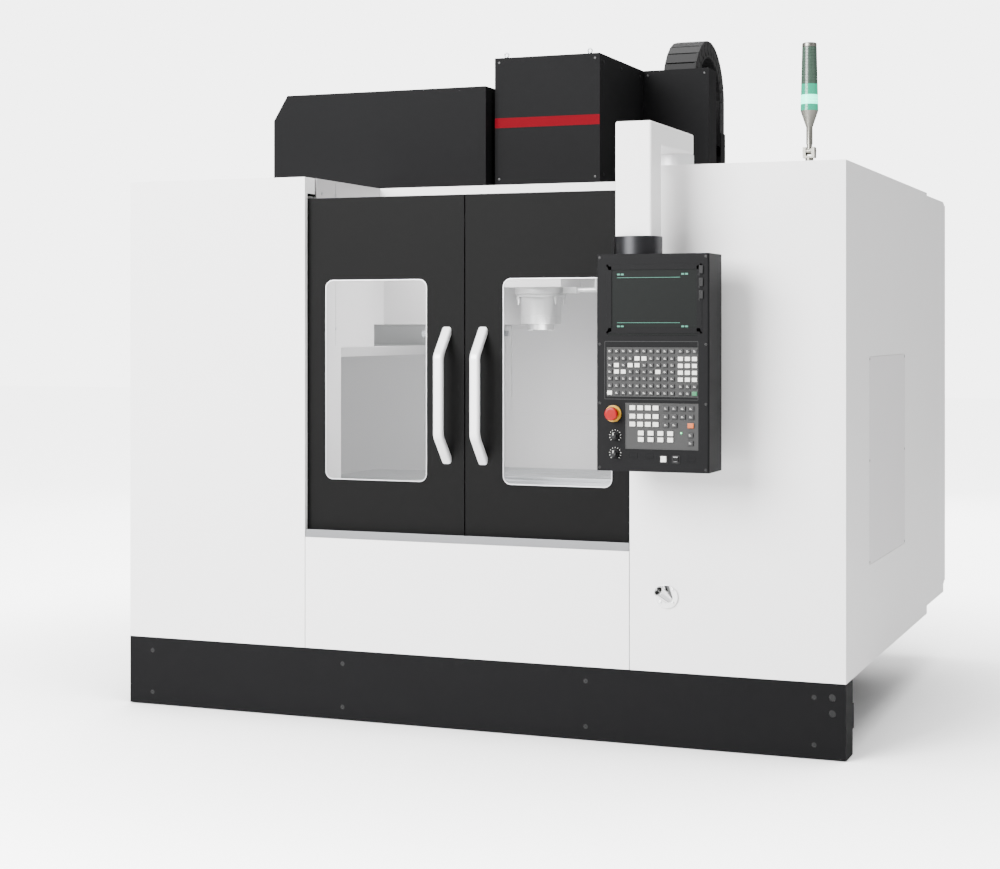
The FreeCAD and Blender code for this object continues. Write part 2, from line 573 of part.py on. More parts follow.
def way_cover(x, y, top, leg, level):
    """Folded way cover: flat top with two legs; level offsets it inside its neighbours."""
    outer = x - COVER_STEP * level
    z = top - COVER_STEP * level
    plate = box((-outer, outer), y, (z - COVER_PLATE, z))
    side = box((outer - COVER_PLATE, outer), y, (z - leg, z))
    return fuse(plate, side, mirrored(side))


Y_COVER_X, Y_COVER_L, Y_COVER_TOP, Y_COVER_LEG = 330.0, 250.0, 640.0, 60.0
Y_REAR_COVER_L = 460.0
COVER_STEP = COVER_PLATE + RUN       # one way cover segment inside the next
SADDLE_FRONT = AXIS_Y - SADDLE[1]


def saddle_covers():
    """Front segment in front of the saddle and the long rear plate that enters the column."""
    front = way_cover(Y_COVER_X, (SADDLE_FRONT - Y_COVER_L, SADDLE_FRONT), Y_COVER_TOP, Y_COVER_LEG, 0)
    back = AXIS_Y + SADDLE[1]
    return front, way_cover(Y_COVER_X, (back, back + Y_REAR_COVER_L), Y_COVER_TOP, Y_COVER_LEG, 0)


def y_cover_mid():
    """Middle segment of the front way cover, halfway between its neighbours."""
    start = SADDLE_FRONT - Y_COVER_L - Y_TRAVEL / 2
    return way_cover(Y_COVER_X, (start, start + Y_COVER_L), Y_COVER_TOP, Y_COVER_LEG, 1)


def fixed_y_cover():
    """Front segment of the way cover, standing on the bed."""
    start = SADDLE_FRONT - Y_COVER_L - Y_TRAVEL
    leg = Y_COVER_TOP - 2 * COVER_STEP - BED_TOP
    return way_cover(Y_COVER_X, (start + 12, start + Y_COVER_L), Y_COVER_TOP, leg, 2)


def table():
    """Slotted table with its trucks and nut housing."""
    half_x, half_y = TABLE_HALF
    body = box((-half_x, half_x), (AXIS_Y - half_y, AXIS_Y + half_y), (TABLE_LOW, TABLE_TOP))
    slots = []
    for y in (-SLOT_PITCH, 0, SLOT_PITCH):
        c = AXIS_Y + y
        slots.append(box((-half_x - 1, half_x + 1), (c - SLOT_W / 2, c + SLOT_W / 2),
                         (TABLE_TOP - 30, TABLE_TOP + 1)))
        slots.append(box((-half_x - 1, half_x + 1), (c - 15, c + 15), (TABLE_TOP - 30, TABLE_TOP - 18)))
    for y in (-half_y, half_y - 14):
        slots.append(box((-half_x - 1, half_x + 1), (AXIS_Y + y - 1, AXIS_Y + y + 15),
                         (TABLE_TOP - 14, TABLE_TOP - 6)))
    body = body.cut(Part.makeCompound(slots))
    nut = moved(nut_block(TABLE_LOW, SCREW_Z_X, 0), 0, AXIS_Y)
    trucks = [moved(truck(), x, y, X_RAIL_Z) for x in (-X_TRUCK_X, X_TRUCK_X)
              for y in (AXIS_Y - X_RAIL_Y, AXIS_Y + X_RAIL_Y)]
    return [fuse(body, nut)] + trucks


X_COVER_L = 400.0


def x_covers():
    """Rigid covers bolted to both ends of the table, over the saddle's rails."""
    x = (TABLE_HALF[0], TABLE_HALF[0] + X_COVER_L)
    y = (AXIS_Y - TABLE_HALF[1] + 4, AXIS_Y + TABLE_HALF[1] - 4)
    top = TABLE_TOP - 22
    cover = fuse(box(x, y, (top - COVER_PLATE, top)),
                 box(x, (y[0], y[0] + COVER_PLATE), (X_RAIL_Z + 10, top)),
                 box(x, (y[1] - COVER_PLATE, y[1]), (X_RAIL_Z + 10, top)),
                 box((x[1] - COVER_PLATE, x[1]), y, (TABLE_LOW + 16, top)))
    return cover, mirrored(cover)


GUARD_X = 302.0          # inner edge of the rear guards, beside the Z way cover


# ---- head ---------------------------------------------------------------------------------
Z_COVER_HALF = 297.0     # half width of the two moving segments
Z_COVER_Y, Z_COVER_T, Z_COVER_EDGE = PLATE_BACK - 10, 2.0, 4.0
Z_COVER_LOW = 660.0


def z_cover(level, z, half):
    """Flat segment of the Z way cover with folded side edges; level counts from the head."""
    y = Z_COVER_Y + level * (Z_COVER_EDGE + RUN)
    face = box((-half, half), (y, y + Z_COVER_T), z)
    edge = box((half - Z_COVER_T, half), (y, y + Z_COVER_EDGE), z)
    return fuse(face, edge, mirrored(edge))


def head_casting():
    """Head casting with its spindle bore, plus the Z trucks and the nut housing."""
    front = COVER_Y[0] + SHEET
    body = fuse(box((-115, 115), (front, 880), (HEAD_LOW, HEAD_HIGH)),
                box((-115, 115), (870, PLATE_BACK - PLATE_T), (1640, 1980)),
                box((-200, 200), (PLATE_BACK - PLATE_T, PLATE_BACK), HEAD_PLATE_Z))
    body = body.cut(cyl(CART_R + FIT, (0, AXIS_Y, HEAD_LOW - 1), HEAD_HIGH - HEAD_LOW + 2))
    nut = box((-38, 38), (PLATE_BACK, SCREW_Y_Z + 26), (1810, 1900))
    nut = nut.cut(cyl(SCREW_R + FIT, (0, SCREW_Y_Z, 1809), 92))
    z_truck = moved(turned(turned(truck(), X_AXIS, 90), Y_AXIS, -90), 0, COL_FRONT, 0)
    trucks = [moved(z_truck, x, 0, z) for x in (-Z_RAIL_X, Z_RAIL_X) for z in Z_TRUCKS]
    return [fuse(body, nut)] + trucks


def head_cover():
    """Sheet cover round the head and the cable duct beside it."""
    cover = shell_box(COVER_X, COVER_Y, COVER_Z, SHEET, ("z0", "y1"))
    duct = shell_box((COVER_X[1] - DUCT_LAP, DUCT_X1), DUCT_Y, DUCT_Z, SHEET, ("z0", "z1"))
    notch = box((CHAIN_X[0] - 8, CHAIN_X[1] + 8), (DUCT_Y[1] - SHEET - 1, DUCT_Y[1] + 1), (DUCT_NOTCH_Z, DUCT_Z[1] + 1))
    duct = duct.cut(notch)
    return cover, duct


def spindle_cartridge():
    """Spindle cartridge with its flange, and the coolant block and pipe beside it."""
    body = fuse(cyl(CART_R, (0, AXIS_Y, CART_LOW), 1850 - CART_LOW),
                cyl(FLANGE_R, (0, AXIS_Y, FLANGE_Z), HEAD_LOW - FLANGE_Z))
    groove = cyl(CART_R + 1, (0, AXIS_Y, 1376), 3).cut(cyl(CART_R - 1.5, (0, AXIS_Y, 1375), 5))
    body = body.cut(groove).cut(cyl(SHAFT_R + FIT, (0, AXIS_Y, CART_LOW - 1), 600))
    block = box((100, 150), (AXIS_Y - 40, AXIS_Y + 10), (1459, HEAD_LOW))
    pipe = fuse(cyl(9, (140, AXIS_Y - 15, 1470), 80, X_AXIS), cyl(9, (220, AXIS_Y - 15, 1470), 120),
                Part.makeSphere(9, V(220, AXIS_Y - 15, 1470)))
    return body, fuse(block, pipe)


def spindle_shaft():
    """Spindle with its nose, 7/24 taper bore and drive keys."""
    body = fuse(cyl(SHAFT_R, (0, AXIS_Y, NOSE_LOW), HEAD_HIGH - 5 - NOSE_LOW),
                cyl(NOSE_R, (0, AXIS_Y, NOSE_LOW), CART_LOW - 1 - NOSE_LOW))
    taper = Part.makeCone(TAPER_R, TAPER_R - TAPER_DEPTH * 7 / 48, TAPER_DEPTH, V(0, AXIS_Y, NOSE_LOW))
    body = body.cut(taper).cut(cyl(9, (0, AXIS_Y, NOSE_LOW + TAPER_DEPTH - 1), 120))
    keys = [box((x - 6, x + 6), (AXIS_Y - 8, AXIS_Y + 8), (NOSE_LOW - 3, NOSE_LOW + 4))
            for x in (-38, 38)]
    return fuse(body, *keys)


def chain():
    """Cable chain as one U-shaped band that rolls over its top bend."""
    mid_y = CHAIN_Y0 + CHAIN_R
    mid_z = CHAIN_TOP - CHAIN_R
    x0, width = CHAIN_X[0], CHAIN_X[1] - CHAIN_X[0]
    ring = cyl(CHAIN_R, (x0, mid_y, mid_z), width, X_AXIS)
    ring = ring.cut(cyl(CHAIN_R - CHAIN_T, (x0 - 1, mid_y, mid_z), width + 2, X_AXIS))
    ring = ring.cut(box((x0 - 1, x0 + width + 1), (mid_y - 300, mid_y + 300), (mid_z - 300, mid_z)))
    front = box(CHAIN_X, (CHAIN_Y0, CHAIN_Y0 + CHAIN_T), (CHAIN_FRONT_LOW, mid_z))
    rear_y = mid_y + CHAIN_R
    rear = box(CHAIN_X, (rear_y - CHAIN_T, rear_y), (CHAIN_REAR_LOW, mid_z))
    return fuse(ring, front, rear)


def chain_trough():
    """Open guide channel for the fixed end of the chain, standing on the rear cabinet."""
    gap = RUN
    rear_y = CHAIN_Y0 + 2 * CHAIN_R
    x = (CHAIN_X[0] - gap - SHEET, CHAIN_X[1] + gap + SHEET)
    y = (rear_y - CHAIN_T - gap - SHEET, rear_y + gap + SHEET)
    channel = shell_box(x, y, (CABINET_HIGH, TROUGH_TOP), SHEET, ("z0", "z1"))
    channel = channel.cut(box(x, (y[0] - 1, y[0] + SHEET), (TROUGH_FRONT_TOP, TROUGH_TOP + 1)))
    foot = box((CABINET_INNER_X, CHAIN_X[1] + 60), (y[1] - SHEET, y[1] + 40), (CABINET_HIGH, CABINET_HIGH + SHEET))
    strut = box((COL_HALF, x[0]), (y[0] + 20, y[0] + 60), (TOP + 50, TOP + 70))
    return fuse(channel, foot, strut)


# ---- tool changer -------------------------------------------------------------------------
POT_X = -2 * ARM_REACH
RING_Z = POT_Z + POT_RING
DISC_Y = 840.0
DISC_T = 12.0
HUB_R, HUB_BORE = 60.0, 30.0
ARM_SHAFT_R = 25.0


def pot():
    """Tool pot along -Y with its two trunnions, at the bottom of the ring."""
    body = cyl(POT_R, (POT_X, AXIS_Y - POT_LEN / 2, POT_Z), POT_LEN, Y_AXIS)
    pins = cyl(TRUNNION_R, (POT_X - POT_R - 8, AXIS_Y, POT_Z), 2 * POT_R + 16, X_AXIS)
    taper = Part.makeCone(TAPER_R + 1, 13, 68, V(POT_X, AXIS_Y - POT_LEN / 2, POT_Z), Y_AXIS)
    return fuse(body, pins).cut(taper)


def about_ring(shape, index):
    """A copy turned round the magazine's centre."""
    copy = shape.copy()
    copy.rotate(V(POT_X, 0, RING_Z), Y_AXIS, 360.0 / POTS * index)
    return copy


def magazine_disc():
    """Magazine disc with a pair of lugs for each pot and its hub."""
    disc = fuse(cyl(POT_RING + 15, (POT_X, DISC_Y, RING_Z), DISC_T, Y_AXIS),
                cyl(HUB_R, (POT_X, DISC_Y, RING_Z), 50, Y_AXIS))
    disc = disc.cut(cyl(HUB_BORE + FIT, (POT_X, DISC_Y - 1, RING_Z), 60, Y_AXIS))
    lugs = []
    for side in (-1, 1):
        x0 = POT_X + side * (POT_R + 4) - 3
        lug = box((x0, x0 + 6), (AXIS_Y - 11, DISC_Y + 2), (POT_Z - 11, POT_Z + 14))
        lugs.append(lug.cut(cyl(TRUNNION_R + FIT, (x0 - 1, AXIS_Y, POT_Z), 8, X_AXIS)))
    return disc.multiFuse([about_ring(lug, i) for i in range(POTS) for lug in lugs])


def gearbox():
    """Magazine frame on the column, stub shaft, disc motor and the arm's cam box."""
    plate = box((POT_X - 120, -212), (900, 920), (1560, 1880))
    stub = cyl(HUB_BORE, (POT_X, DISC_Y - 6, RING_Z), 66, Y_AXIS)
    bracket = box((-248, -212), (910, COL_FRONT), (1735, 1870))
    frame = fuse(plate, stub, bracket)
    drive = moved(turned(motor(150.0, 100.0), X_AXIS, -90), POT_X + 180, 920, RING_Z)
    x, y = -ARM_REACH, AXIS_Y
    cam = fuse(box((x - 75, x + 75), (y - 70, DISC_Y + 20), (1345, 1425)),
               box((x - 75, x + 75), (DISC_Y + 20, 960), (1345, 1560)),
               cyl(40, (x, y, 1400), 80))
    cam = cam.cut(cyl(ARM_SHAFT_R + FIT, (x, y, 1340), 200))
    return frame, drive, cam


def arm_shaft():
    """Lifting shaft of the change arm, with the stub and collar that carry the arm."""
    x, y = -ARM_REACH, AXIS_Y
    low, high = ARM_Z
    return fuse(cyl(ARM_SHAFT_R, (x, y, high + RUN), 1475 - high - RUN), cyl(15, (x, y, low - 6), high - low + 12),
                cyl(24, (x, y, low - 12), 12 - RUN))


def tool_arm():
    """Double-ended change arm with a gripping hook at each end."""
    x, y = -ARM_REACH, AXIS_Y
    bar = fuse(box((x - 30, x + 30), (y - 260, y + 260), ARM_Z), cyl(45, (x, y, ARM_Z[0]), ARM_Z[1] - ARM_Z[0]))
    ends = []
    cuts = [cyl(15 + FIT, (x, y, ARM_Z[0] - 1), 40)]
    for side in (-1, 1):
        ends.append(box((x - 42, x + 42), (y + side * 290 - 35, y + side * 290 + 35), ARM_Z))
        cuts.append(cyl(27, (x, y + side * ARM_REACH, ARM_Z[0] - 1), 40))
        cuts.append(box(sorted_pair(x, x + side * 50), (y + side * ARM_REACH - 22, y + side * ARM_REACH + 22),
                        (ARM_Z[0] - 1, ARM_Z[1] + 1)))
    return fuse(bar, *ends).cut(Part.makeCompound(cuts))


def sorted_pair(a, b):
    """Low and high of two values."""
    return (min(a, b), max(a, b))


def magazine_cover():
    """Dark sheet cover over the magazine, chamfered at its outer top corner."""
    low = TOP
    cx, cz = MAG_CHAMFER

    def outline(wall):
        x0, x1, top = MAG_X[0] + wall, MAG_X[1] - wall, MAG_TOP - wall
        return [(x0, 0, low), (x1, 0, low), (x1, 0, top), (x0 + cx, 0, top), (x0, 0, top - cz)]

    outer = moved(prism(outline(0), (0, MAG_Y[1] - MAG_Y[0], 0)), y=MAG_Y[0])
    inner = moved(prism(outline(SHEET), (0, MAG_Y[1] - MAG_Y[0] - 2 * SHEET, 0)), y=MAG_Y[0] + SHEET)
    rear_slot = box((MAG_X[0] - 1, 0), (MAG_Y[1] - 10, MAG_Y[1] + 1), (low - 1, low + 40))
    return outer.cut(inner).cut(rear_slot)


def magazine_guard():
    """Light inner guard in front of and beside the magazine."""
    y0 = BEAM_Y + BEAM_D
    return fuse(box((-WALL_X, MAG_X[1] - 3), (y0, y0 + SHEET), (STEP_Z + 5, TOP)),
                box((MAG_X[1] - 6, MAG_X[1] - 3), (y0, COVER_Y[1]), (STEP_Z + 5, TOP)))


# ---- pendant ------------------------------------------------------------------------------
ARM_CORNER_R = 8.0


def pendant_arm():
    """White box arm, cranked down, on its swivel disc."""
    front, back = LEG_Y
    outline = [(front, LEG_LOW), (back, LEG_LOW), (back, ARM_LOW), (ARM_REAR, ARM_LOW),
               (ARM_REAR, ARM_HIGH), (front, ARM_HIGH)]
    arm = prism([(ARM_X[0], y, z) for y, z in outline], (ARM_X[1] - ARM_X[0], 0, 0))
    arm = fillet_edges(arm, ARM_CORNER_R, lambda e: e.BoundBox.ZMax > LEG_LOW + 1)
    arm = arm.cut(cyl(20 + FIT, (*PIVOT, LEG_LOW - 1), 60))
    disc = fuse(cyl(61, (*ARM_PIVOT, TOP + RUN), ARM_LOW - TOP - RUN), cyl(ARM_PIN_R, (*ARM_PIVOT, TOP - 60), 70))
    return arm, disc


def pendant_housing():
    """Pendant box, its swivel drum and the rings round the controls."""
    body = box(PEN_X, PEN_Y, PEN_Z)
    body = fillet_edges(body, 6.0, lambda e: e.BoundBox.ZLength > 600)
    cuts = [box((SCREEN_X[0] - 22, SCREEN_X[1] + 22), (PEN_Y[0] - 1, PEN_Y[0] + 6),
                (SCREEN_Z[0] - 18, SCREEN_Z[1] + 18)),
            box((PEN_X[0] + 6, PEN_X[1] - 6), (PEN_Y[0] + 30, PEN_Y[1] - SHEET), (PEN_Z[0] + 6, PEN_Z[1] - 6)),
            box((KEYS_X[0], KEYS_X[1]), (PEN_Y[0] - 1, PEN_Y[0] + 3), KEYS_Z),
            box(KEYS2_X, (PEN_Y[0] - 1, PEN_Y[0] + 3), KEYS2_Z)]
    for (x, z), radius in zip((ESTOP,) + KNOBS, (12.0, 5.0, 5.0)):
        cuts.append(cyl(radius + FIT, (x, PEN_Y[0] - 10, z), 45, Y_AXIS))
    for x, z in BUTTONS:
        cuts.append(box((x - 9 - RUN, x + 9 + RUN), (PEN_Y[0] - 10, PEN_Y[0] + 35), (z - 9 - RUN, z + 9 + RUN)))
    rings = [cyl(26, (ESTOP[0], PEN_Y[0] - 6, ESTOP[1]), 8, Y_AXIS)]
    rings += [cyl(15, (x, PEN_Y[0] - 3, z), 5, Y_AXIS) for x, z in KNOBS]
    drum = fuse(cyl(SWIVEL_R, (*PIVOT, PEN_Z[1]), LEG_LOW - RUN - PEN_Z[1]), cyl(20, (*PIVOT, PEN_Z[1]), 100))
    return fuse(body, *rings).cut(Part.makeCompound(cuts)), drum


def screen():
    """Display glass with its bezel, set into the pendant."""
    return box((SCREEN_X[0] - 21.7, SCREEN_X[1] + 21.7), (PEN_Y[0] + 1, PEN_Y[0] + 6),
               (SCREEN_Z[0] - 17.7, SCREEN_Z[1] + 17.7))


def key(x, z, wide=13.0, tall=11.0):
    """One keycap standing on the key mat."""
    return box((x - wide / 2, x + wide / 2), (PEN_Y[0] - 2.5, PEN_Y[0] + 1), (z - tall / 2, z + tall / 2))


def key_mats():
    """Two silicone key mats, each one moulding with its caps."""
    gap = RUN
    upper = [box((KEYS_X[0] + gap, KEYS_X[1] - gap), (PEN_Y[0] + 0.5, PEN_Y[0] + 3), (KEYS_Z[0] + gap, KEYS_Z[1] - gap))]
    lower = [box((KEYS2_X[0] + gap, KEYS2_X[1] - gap), (PEN_Y[0] + 0.5, PEN_Y[0] + 3),
                 (KEYS2_Z[0] + gap, KEYS2_Z[1] - gap))]
    wide = 15.0
    for row in range(7):
        z = KEYS_Z[1] - 12 - KEY_PITCH * row
        upper += [key(KEYS_X[0] + 11 + KEY_PITCH * i, z) for i in range(10)]
        upper += [key(KEYS_X[0] + 236 + KEY_PITCH * i, z) for i in range(3)]
    for down in (15, 41, 65):
        z = KEYS2_Z[1] - down
        lower += [key(KEYS2_X[0] + 24 + 24.5 * i, z, wide) for i in range(4)]
        lower += [key(KEYS2_X[0] + 129 + 26.5 * i, z, wide) for i in range(4)]
    for row in range(4):
        z = KEYS2_Z[1] - 93 - 13 * row
        lower += [key(KEYS2_X[0] + 47 + 26 * i + 13 * (row % 2), z, wide) for i in range(4)]
    return fuse(*upper), fuse(*lower)


def estop():
    """Mushroom push button."""
    x, z = ESTOP
    head = fuse(Part.makeCone(20.5, 18, 8, V(x, PEN_Y[0] - 24, z), V(0, -1, 0)),
                cyl(20.5, (x, PEN_Y[0] - 24, z), 12, Y_AXIS))
    return fuse(head, cyl(12, (x, PEN_Y[0] - 24, z), 44, Y_AXIS))


def override_knob(place):
    """Rotary override switch knob with its shaft."""
    x, z = place
    body = fuse(Part.makeCone(12, 10.5, 16, V(x, PEN_Y[0] - 4, z), V(0, -1, 0)),
                box((x - 2.5, x + 2.5), (PEN_Y[0] - 22, PEN_Y[0] - 4), (z - 11, z + 11)))
    return fuse(body, cyl(5, (x, PEN_Y[0] - 5, z), 25, Y_AXIS))


def push_button(place):
    """Square illuminated push button."""
    x, z = place
    return box((x - 9, x + 9), (PEN_Y[0] - 5, PEN_Y[0] + 18), (z - 9, z + 9))


# ---- light, outlet, tank ------------------------------------------------------------------
KNUCKLE_Z = TOP + 43


def light_base():
    """Flange, neck and fork of the signal light."""
    x, y = LIGHT
    fork = [box((x + s * 14 - 5, x + s * 14 + 5), (y - 14, y + 14), (KNUCKLE_Z - 17, KNUCKLE_Z + 12)) for s in (-1, 1)]
    foot = fuse(cyl(36, (x, y, TOP), 8), cyl(12.5, (x, y, TOP), 22),
                box((x - 19, x + 19), (y - 14, y + 14), (KNUCKLE_Z - 22, KNUCKLE_Z - 16)), *fork)
    pin = cyl(5, (x - 21.5, y, KNUCKLE_Z), 43, X_AXIS)
    return fuse(foot, pin)


def light_stem():
    """Folding knuckle, pole and cone below the lens."""
    x, y = LIGHT
    knuckle = fuse(cyl(11, (x - 8.7, y, KNUCKLE_Z), 17.4, X_AXIS), cyl(8.5, (x, y, KNUCKLE_Z), 30),
                   cyl(10, (x, y, KNUCKLE_Z + 21), 55))
    cone = Part.makeCone(10, 28, 53, V(x, y, KNUCKLE_Z + 75))
    return fuse(knuckle, cone).cut(cyl(5 + FIT, (x - 30, y, KNUCKLE_Z), 60, X_AXIS))


def light_lens():
    """Tapered signal lens with its cap."""
    return Part.makeCone(28, 22.5, 215, V(*LIGHT, KNUCKLE_Z + 128))


def wash_outlet():
    """Chromed flange with its angled stub for the wash hose."""
    x, z = OUTLET
    flange = cyl(37.5, (x, -6, z), 6, Y_AXIS)
    lean = V(-0.42, -0.72, 0.55)
    stub = Part.makeCylinder(17, 52, V(x + 5, -2, z - 6), lean)
    bore = Part.makeCylinder(13, 60, V(x + 2, -8, z - 3), lean)
    back = cyl(21, (x, 0, z), 30, Y_AXIS)
    body = fuse(flange, back, stub.cut(box((x - 60, x + 60), (-2, 60), (z - 60, z + 60)))).cut(bore)
    screws = [cyl(5, (x + 29 * math.cos(a), -9, z + 29 * math.sin(a)), 3, Y_AXIS)
              for a in (math.radians(45 + 90 * i) for i in range(4))]
    return [body] + screws


TANK = ((480.0, 1010.0), (125.0, 1480.0), (30.0, 330.0))
TANK_LUG_X = 1268.0


def coolant_tank():
    """Open coolant tank on two skids, with its pull lug."""
    x, y, z = TANK
    body = shell_box(x, y, z, SHEET, ("z1",))
    skids = [box((x0, x0 + 60), y, (0, z[0])) for x0 in (x[0] + 40, x[1] - 100)]
    lug = box((x[1], TANK_LUG_X), (y[0] - 14, y[0] + 48), (72, 150))
    bracket = box((820, 900), (SHEET, y[0] + 1), (200, 200 + SHEET))
    return fuse(body, *skids, lug, bracket)


def access_cover():
    """Screwed cover flush in the right side panel."""
    gap = ACCESS_GAP
    plate = box((HALF_W - SHEET, HALF_W), (ACCESS_Y[0] + gap, ACCESS_Y[1] - gap),
                (ACCESS_Z[0] + gap, ACCESS_Z[1] - gap))
    return plate.cut(Part.makeCompound(access_fixings(0.1)))


def main():
    """Build and export every node."""
    os.makedirs("parts", exist_ok=True)
    door, glass, handle = door_panel(), door_glass(), door_handle()
    save("levelling_feet", *feet())
    save("bed_casting", bed())
    save("column_casting", column())
    save("front_panels", *front_panels())
    save("enclosure_panels", *side_and_roof())
    save("access_cover", access_cover())
    save("interior_panels", *interior_panels(), magazine_guard())
    save("rear_cabinets", *rear_cabinets())
    save("cabinet_door", cabinet_door())
    save("front_skirt", front_skirt())
    save("panel_screws", *skirt_fixings(0), *access_fixings(0))
    save("coolant_tank", coolant_tank())
    save("door_sill", *sill_and_rails())
    for side, place in (("right", lambda s: s), ("left", mirrored)):
        save(f"{side}_door_panel", place(door))
        save(f"{side}_door_glass", place(glass))
        save(f"{side}_door_handle", place(handle))
    save("machine_guides", *machine_guides())
    save("axis_motors", *axis_motors())
    save("y_screw", screw_y())
    save("x_screw", screw_x())
    save("z_screw", screw_z())
    save("saddle", saddle())
    save("saddle_guides", *saddle_guides())
    save("saddle_covers", *saddle_covers())
    save("y_cover_mid", y_cover_mid())
    save("fixed_way_covers", fixed_y_cover(), z_cover(2, (Z_COVER_LOW, 1060), GUARD_X))
    save("table", *table())
    save("x_covers", *x_covers())
    save("head_casting", *head_casting())
    save("head_cover", *head_cover())
    save("spindle_cartridge", *spindle_cartridge())
    save("spindle_shaft", spindle_shaft())
    save("spindle_motor", moved(motor(285.0, 190.0), 0, AXIS_Y, HEAD_HIGH))
    save("z_cover_top", z_cover(0, (1330, HEAD_PLATE_Z[0]), Z_COVER_HALF))
    save("z_cover_mid", z_cover(1, (996, 1400), Z_COVER_HALF))
    save("cable_chain", chain())
    save("chain_trough", chain_trough())
    bottom_pot = pot()
    save("magazine_disc", magazine_disc())
    save("tool_pots", *[about_ring(bottom_pot, i) for i in range(1, POTS)])
    save("change_pot", bottom_pot)
    save("changer_gearbox", *gearbox())
    save("arm_shaft", arm_shaft())
    save("tool_arm", tool_arm())
    save("magazine_cover", magazine_cover())
    save("pendant_arm", *pendant_arm())
    save("pendant_housing", *pendant_housing())
    save("display_screen", screen())
    save("key_mats", *key_mats())
    save("emergency_stop", estop())
    for name, place in zip(("feed_override_knob", "spindle_override_knob"), KNOBS):
        save(name, override_knob(place))
    for name, place in zip(("cycle_start_button", "feed_hold_button"), BUTTONS):
        save(name, push_button(place))
    save("signal_light_base", light_base())
    save("signal_light_stem", light_stem())
    save("signal_light_lens", light_lens())
    save("wash_outlet", *wash_outlet())


main()
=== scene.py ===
"""Looks of an enclosed CNC machining centre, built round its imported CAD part.

Sizes are in millimetres in the enclosure's own axes: X from its middle, Y back from its front
face, Z up from the floor. The function at() turns them into the row frame, in metres.
"""

import json
import logging
import math
from collections.abc import Callable, Iterable, Sequence
from dataclasses import dataclass
from enum import Enum

import bpy
from mathutils import Matrix, Vector

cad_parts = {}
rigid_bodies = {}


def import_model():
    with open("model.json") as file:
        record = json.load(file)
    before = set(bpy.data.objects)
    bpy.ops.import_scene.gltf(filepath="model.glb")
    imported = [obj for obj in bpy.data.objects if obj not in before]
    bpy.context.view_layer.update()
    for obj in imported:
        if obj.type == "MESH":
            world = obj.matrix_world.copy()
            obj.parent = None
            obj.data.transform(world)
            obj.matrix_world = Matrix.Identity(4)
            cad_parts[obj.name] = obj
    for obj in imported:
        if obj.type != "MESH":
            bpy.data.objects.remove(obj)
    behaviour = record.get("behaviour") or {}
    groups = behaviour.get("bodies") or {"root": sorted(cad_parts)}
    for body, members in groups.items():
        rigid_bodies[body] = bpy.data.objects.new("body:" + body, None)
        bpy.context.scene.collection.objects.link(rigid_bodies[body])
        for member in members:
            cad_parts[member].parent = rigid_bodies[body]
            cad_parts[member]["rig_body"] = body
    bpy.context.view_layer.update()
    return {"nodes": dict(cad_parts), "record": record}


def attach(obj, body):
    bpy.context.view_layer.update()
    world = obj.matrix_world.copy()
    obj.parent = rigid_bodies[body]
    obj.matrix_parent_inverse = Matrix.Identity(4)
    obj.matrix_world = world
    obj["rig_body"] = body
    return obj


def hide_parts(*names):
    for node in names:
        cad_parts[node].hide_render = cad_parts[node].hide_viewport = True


logging.basicConfig(level=logging.INFO, format="%(message)s")
LOG = logging.getLogger("machining_centre")

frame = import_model()

Piece = bpy.types.Object
Pair = tuple[float, float]
Triple = tuple[float, float, float]

MM = 0.001
FACE_Y = -878.0      # the enclosure's front face in the row frame
SMOOTH_ANGLE = math.radians(32)
SHAFT_SHRINK = 0.985     # a drawn shaft against its bore


# ---- sizes shared by several pieces ---------------------------------------------------------
HALF_W = 1277.0          # half the enclosure's width
SPINDLE_Y = 760.0        # the spindle's axis behind the front face


def at(x: float, y: float, z: float) -> Vector:
    """A point of the enclosure's axes, in the row frame."""
    return Vector((x, y + FACE_Y, z)) * MM


def linear(code: str) -> tuple[float, float, float, float]:
    """An sRGB hex colour as linear light with full alpha."""
    parts = [int(code[i:i + 2], 16) / 255 for i in (1, 3, 5)]
    red, green, blue = (c / 12.92 if c <= 0.04045 else ((c + 0.055) / 1.055) ** 2.4 for c in parts)
    return red, green, blue, 1.0


# ---- materials ------------------------------------------------------------------------------
MIX_LOW, MIX_HIGH, MIX_RESULT = 6, 7, 2     # the colour sockets of a Mix node
HAND_MM = 180.0                             # width of a slow drift in colour


def add_node(tree: bpy.types.NodeTree, kind: str, inputs: dict | None = None,
             **settings: object) -> bpy.types.Node:
    """Add a node with its settings and links.

    Args:
        tree: the material's node tree.
        kind: the node's type name.
        inputs: socket name or index to a value, or to the socket that feeds it.
        settings: properties of the node itself.

    Returns:
        The new node.
    """
    node = tree.nodes.new(kind)
    for key, value in settings.items():
        setattr(node, key, value)
    for socket, value in (inputs or {}).items():
        if isinstance(value, bpy.types.NodeSocket):
            tree.links.new(value, node.inputs[socket])
        else:
            node.inputs[socket].default_value = value
    return node


class Grain(Enum):
    """How a surface's fine pattern stretches: the stretch along X, Y and Z."""

    EVEN = (1.0, 1.0, 1.0)
    ALONG_X = (60.0, 1.0, 1.0)
    ALONG_Y = (1.0, 60.0, 1.0)
    ALONG_Z = (1.0, 1.0, 60.0)


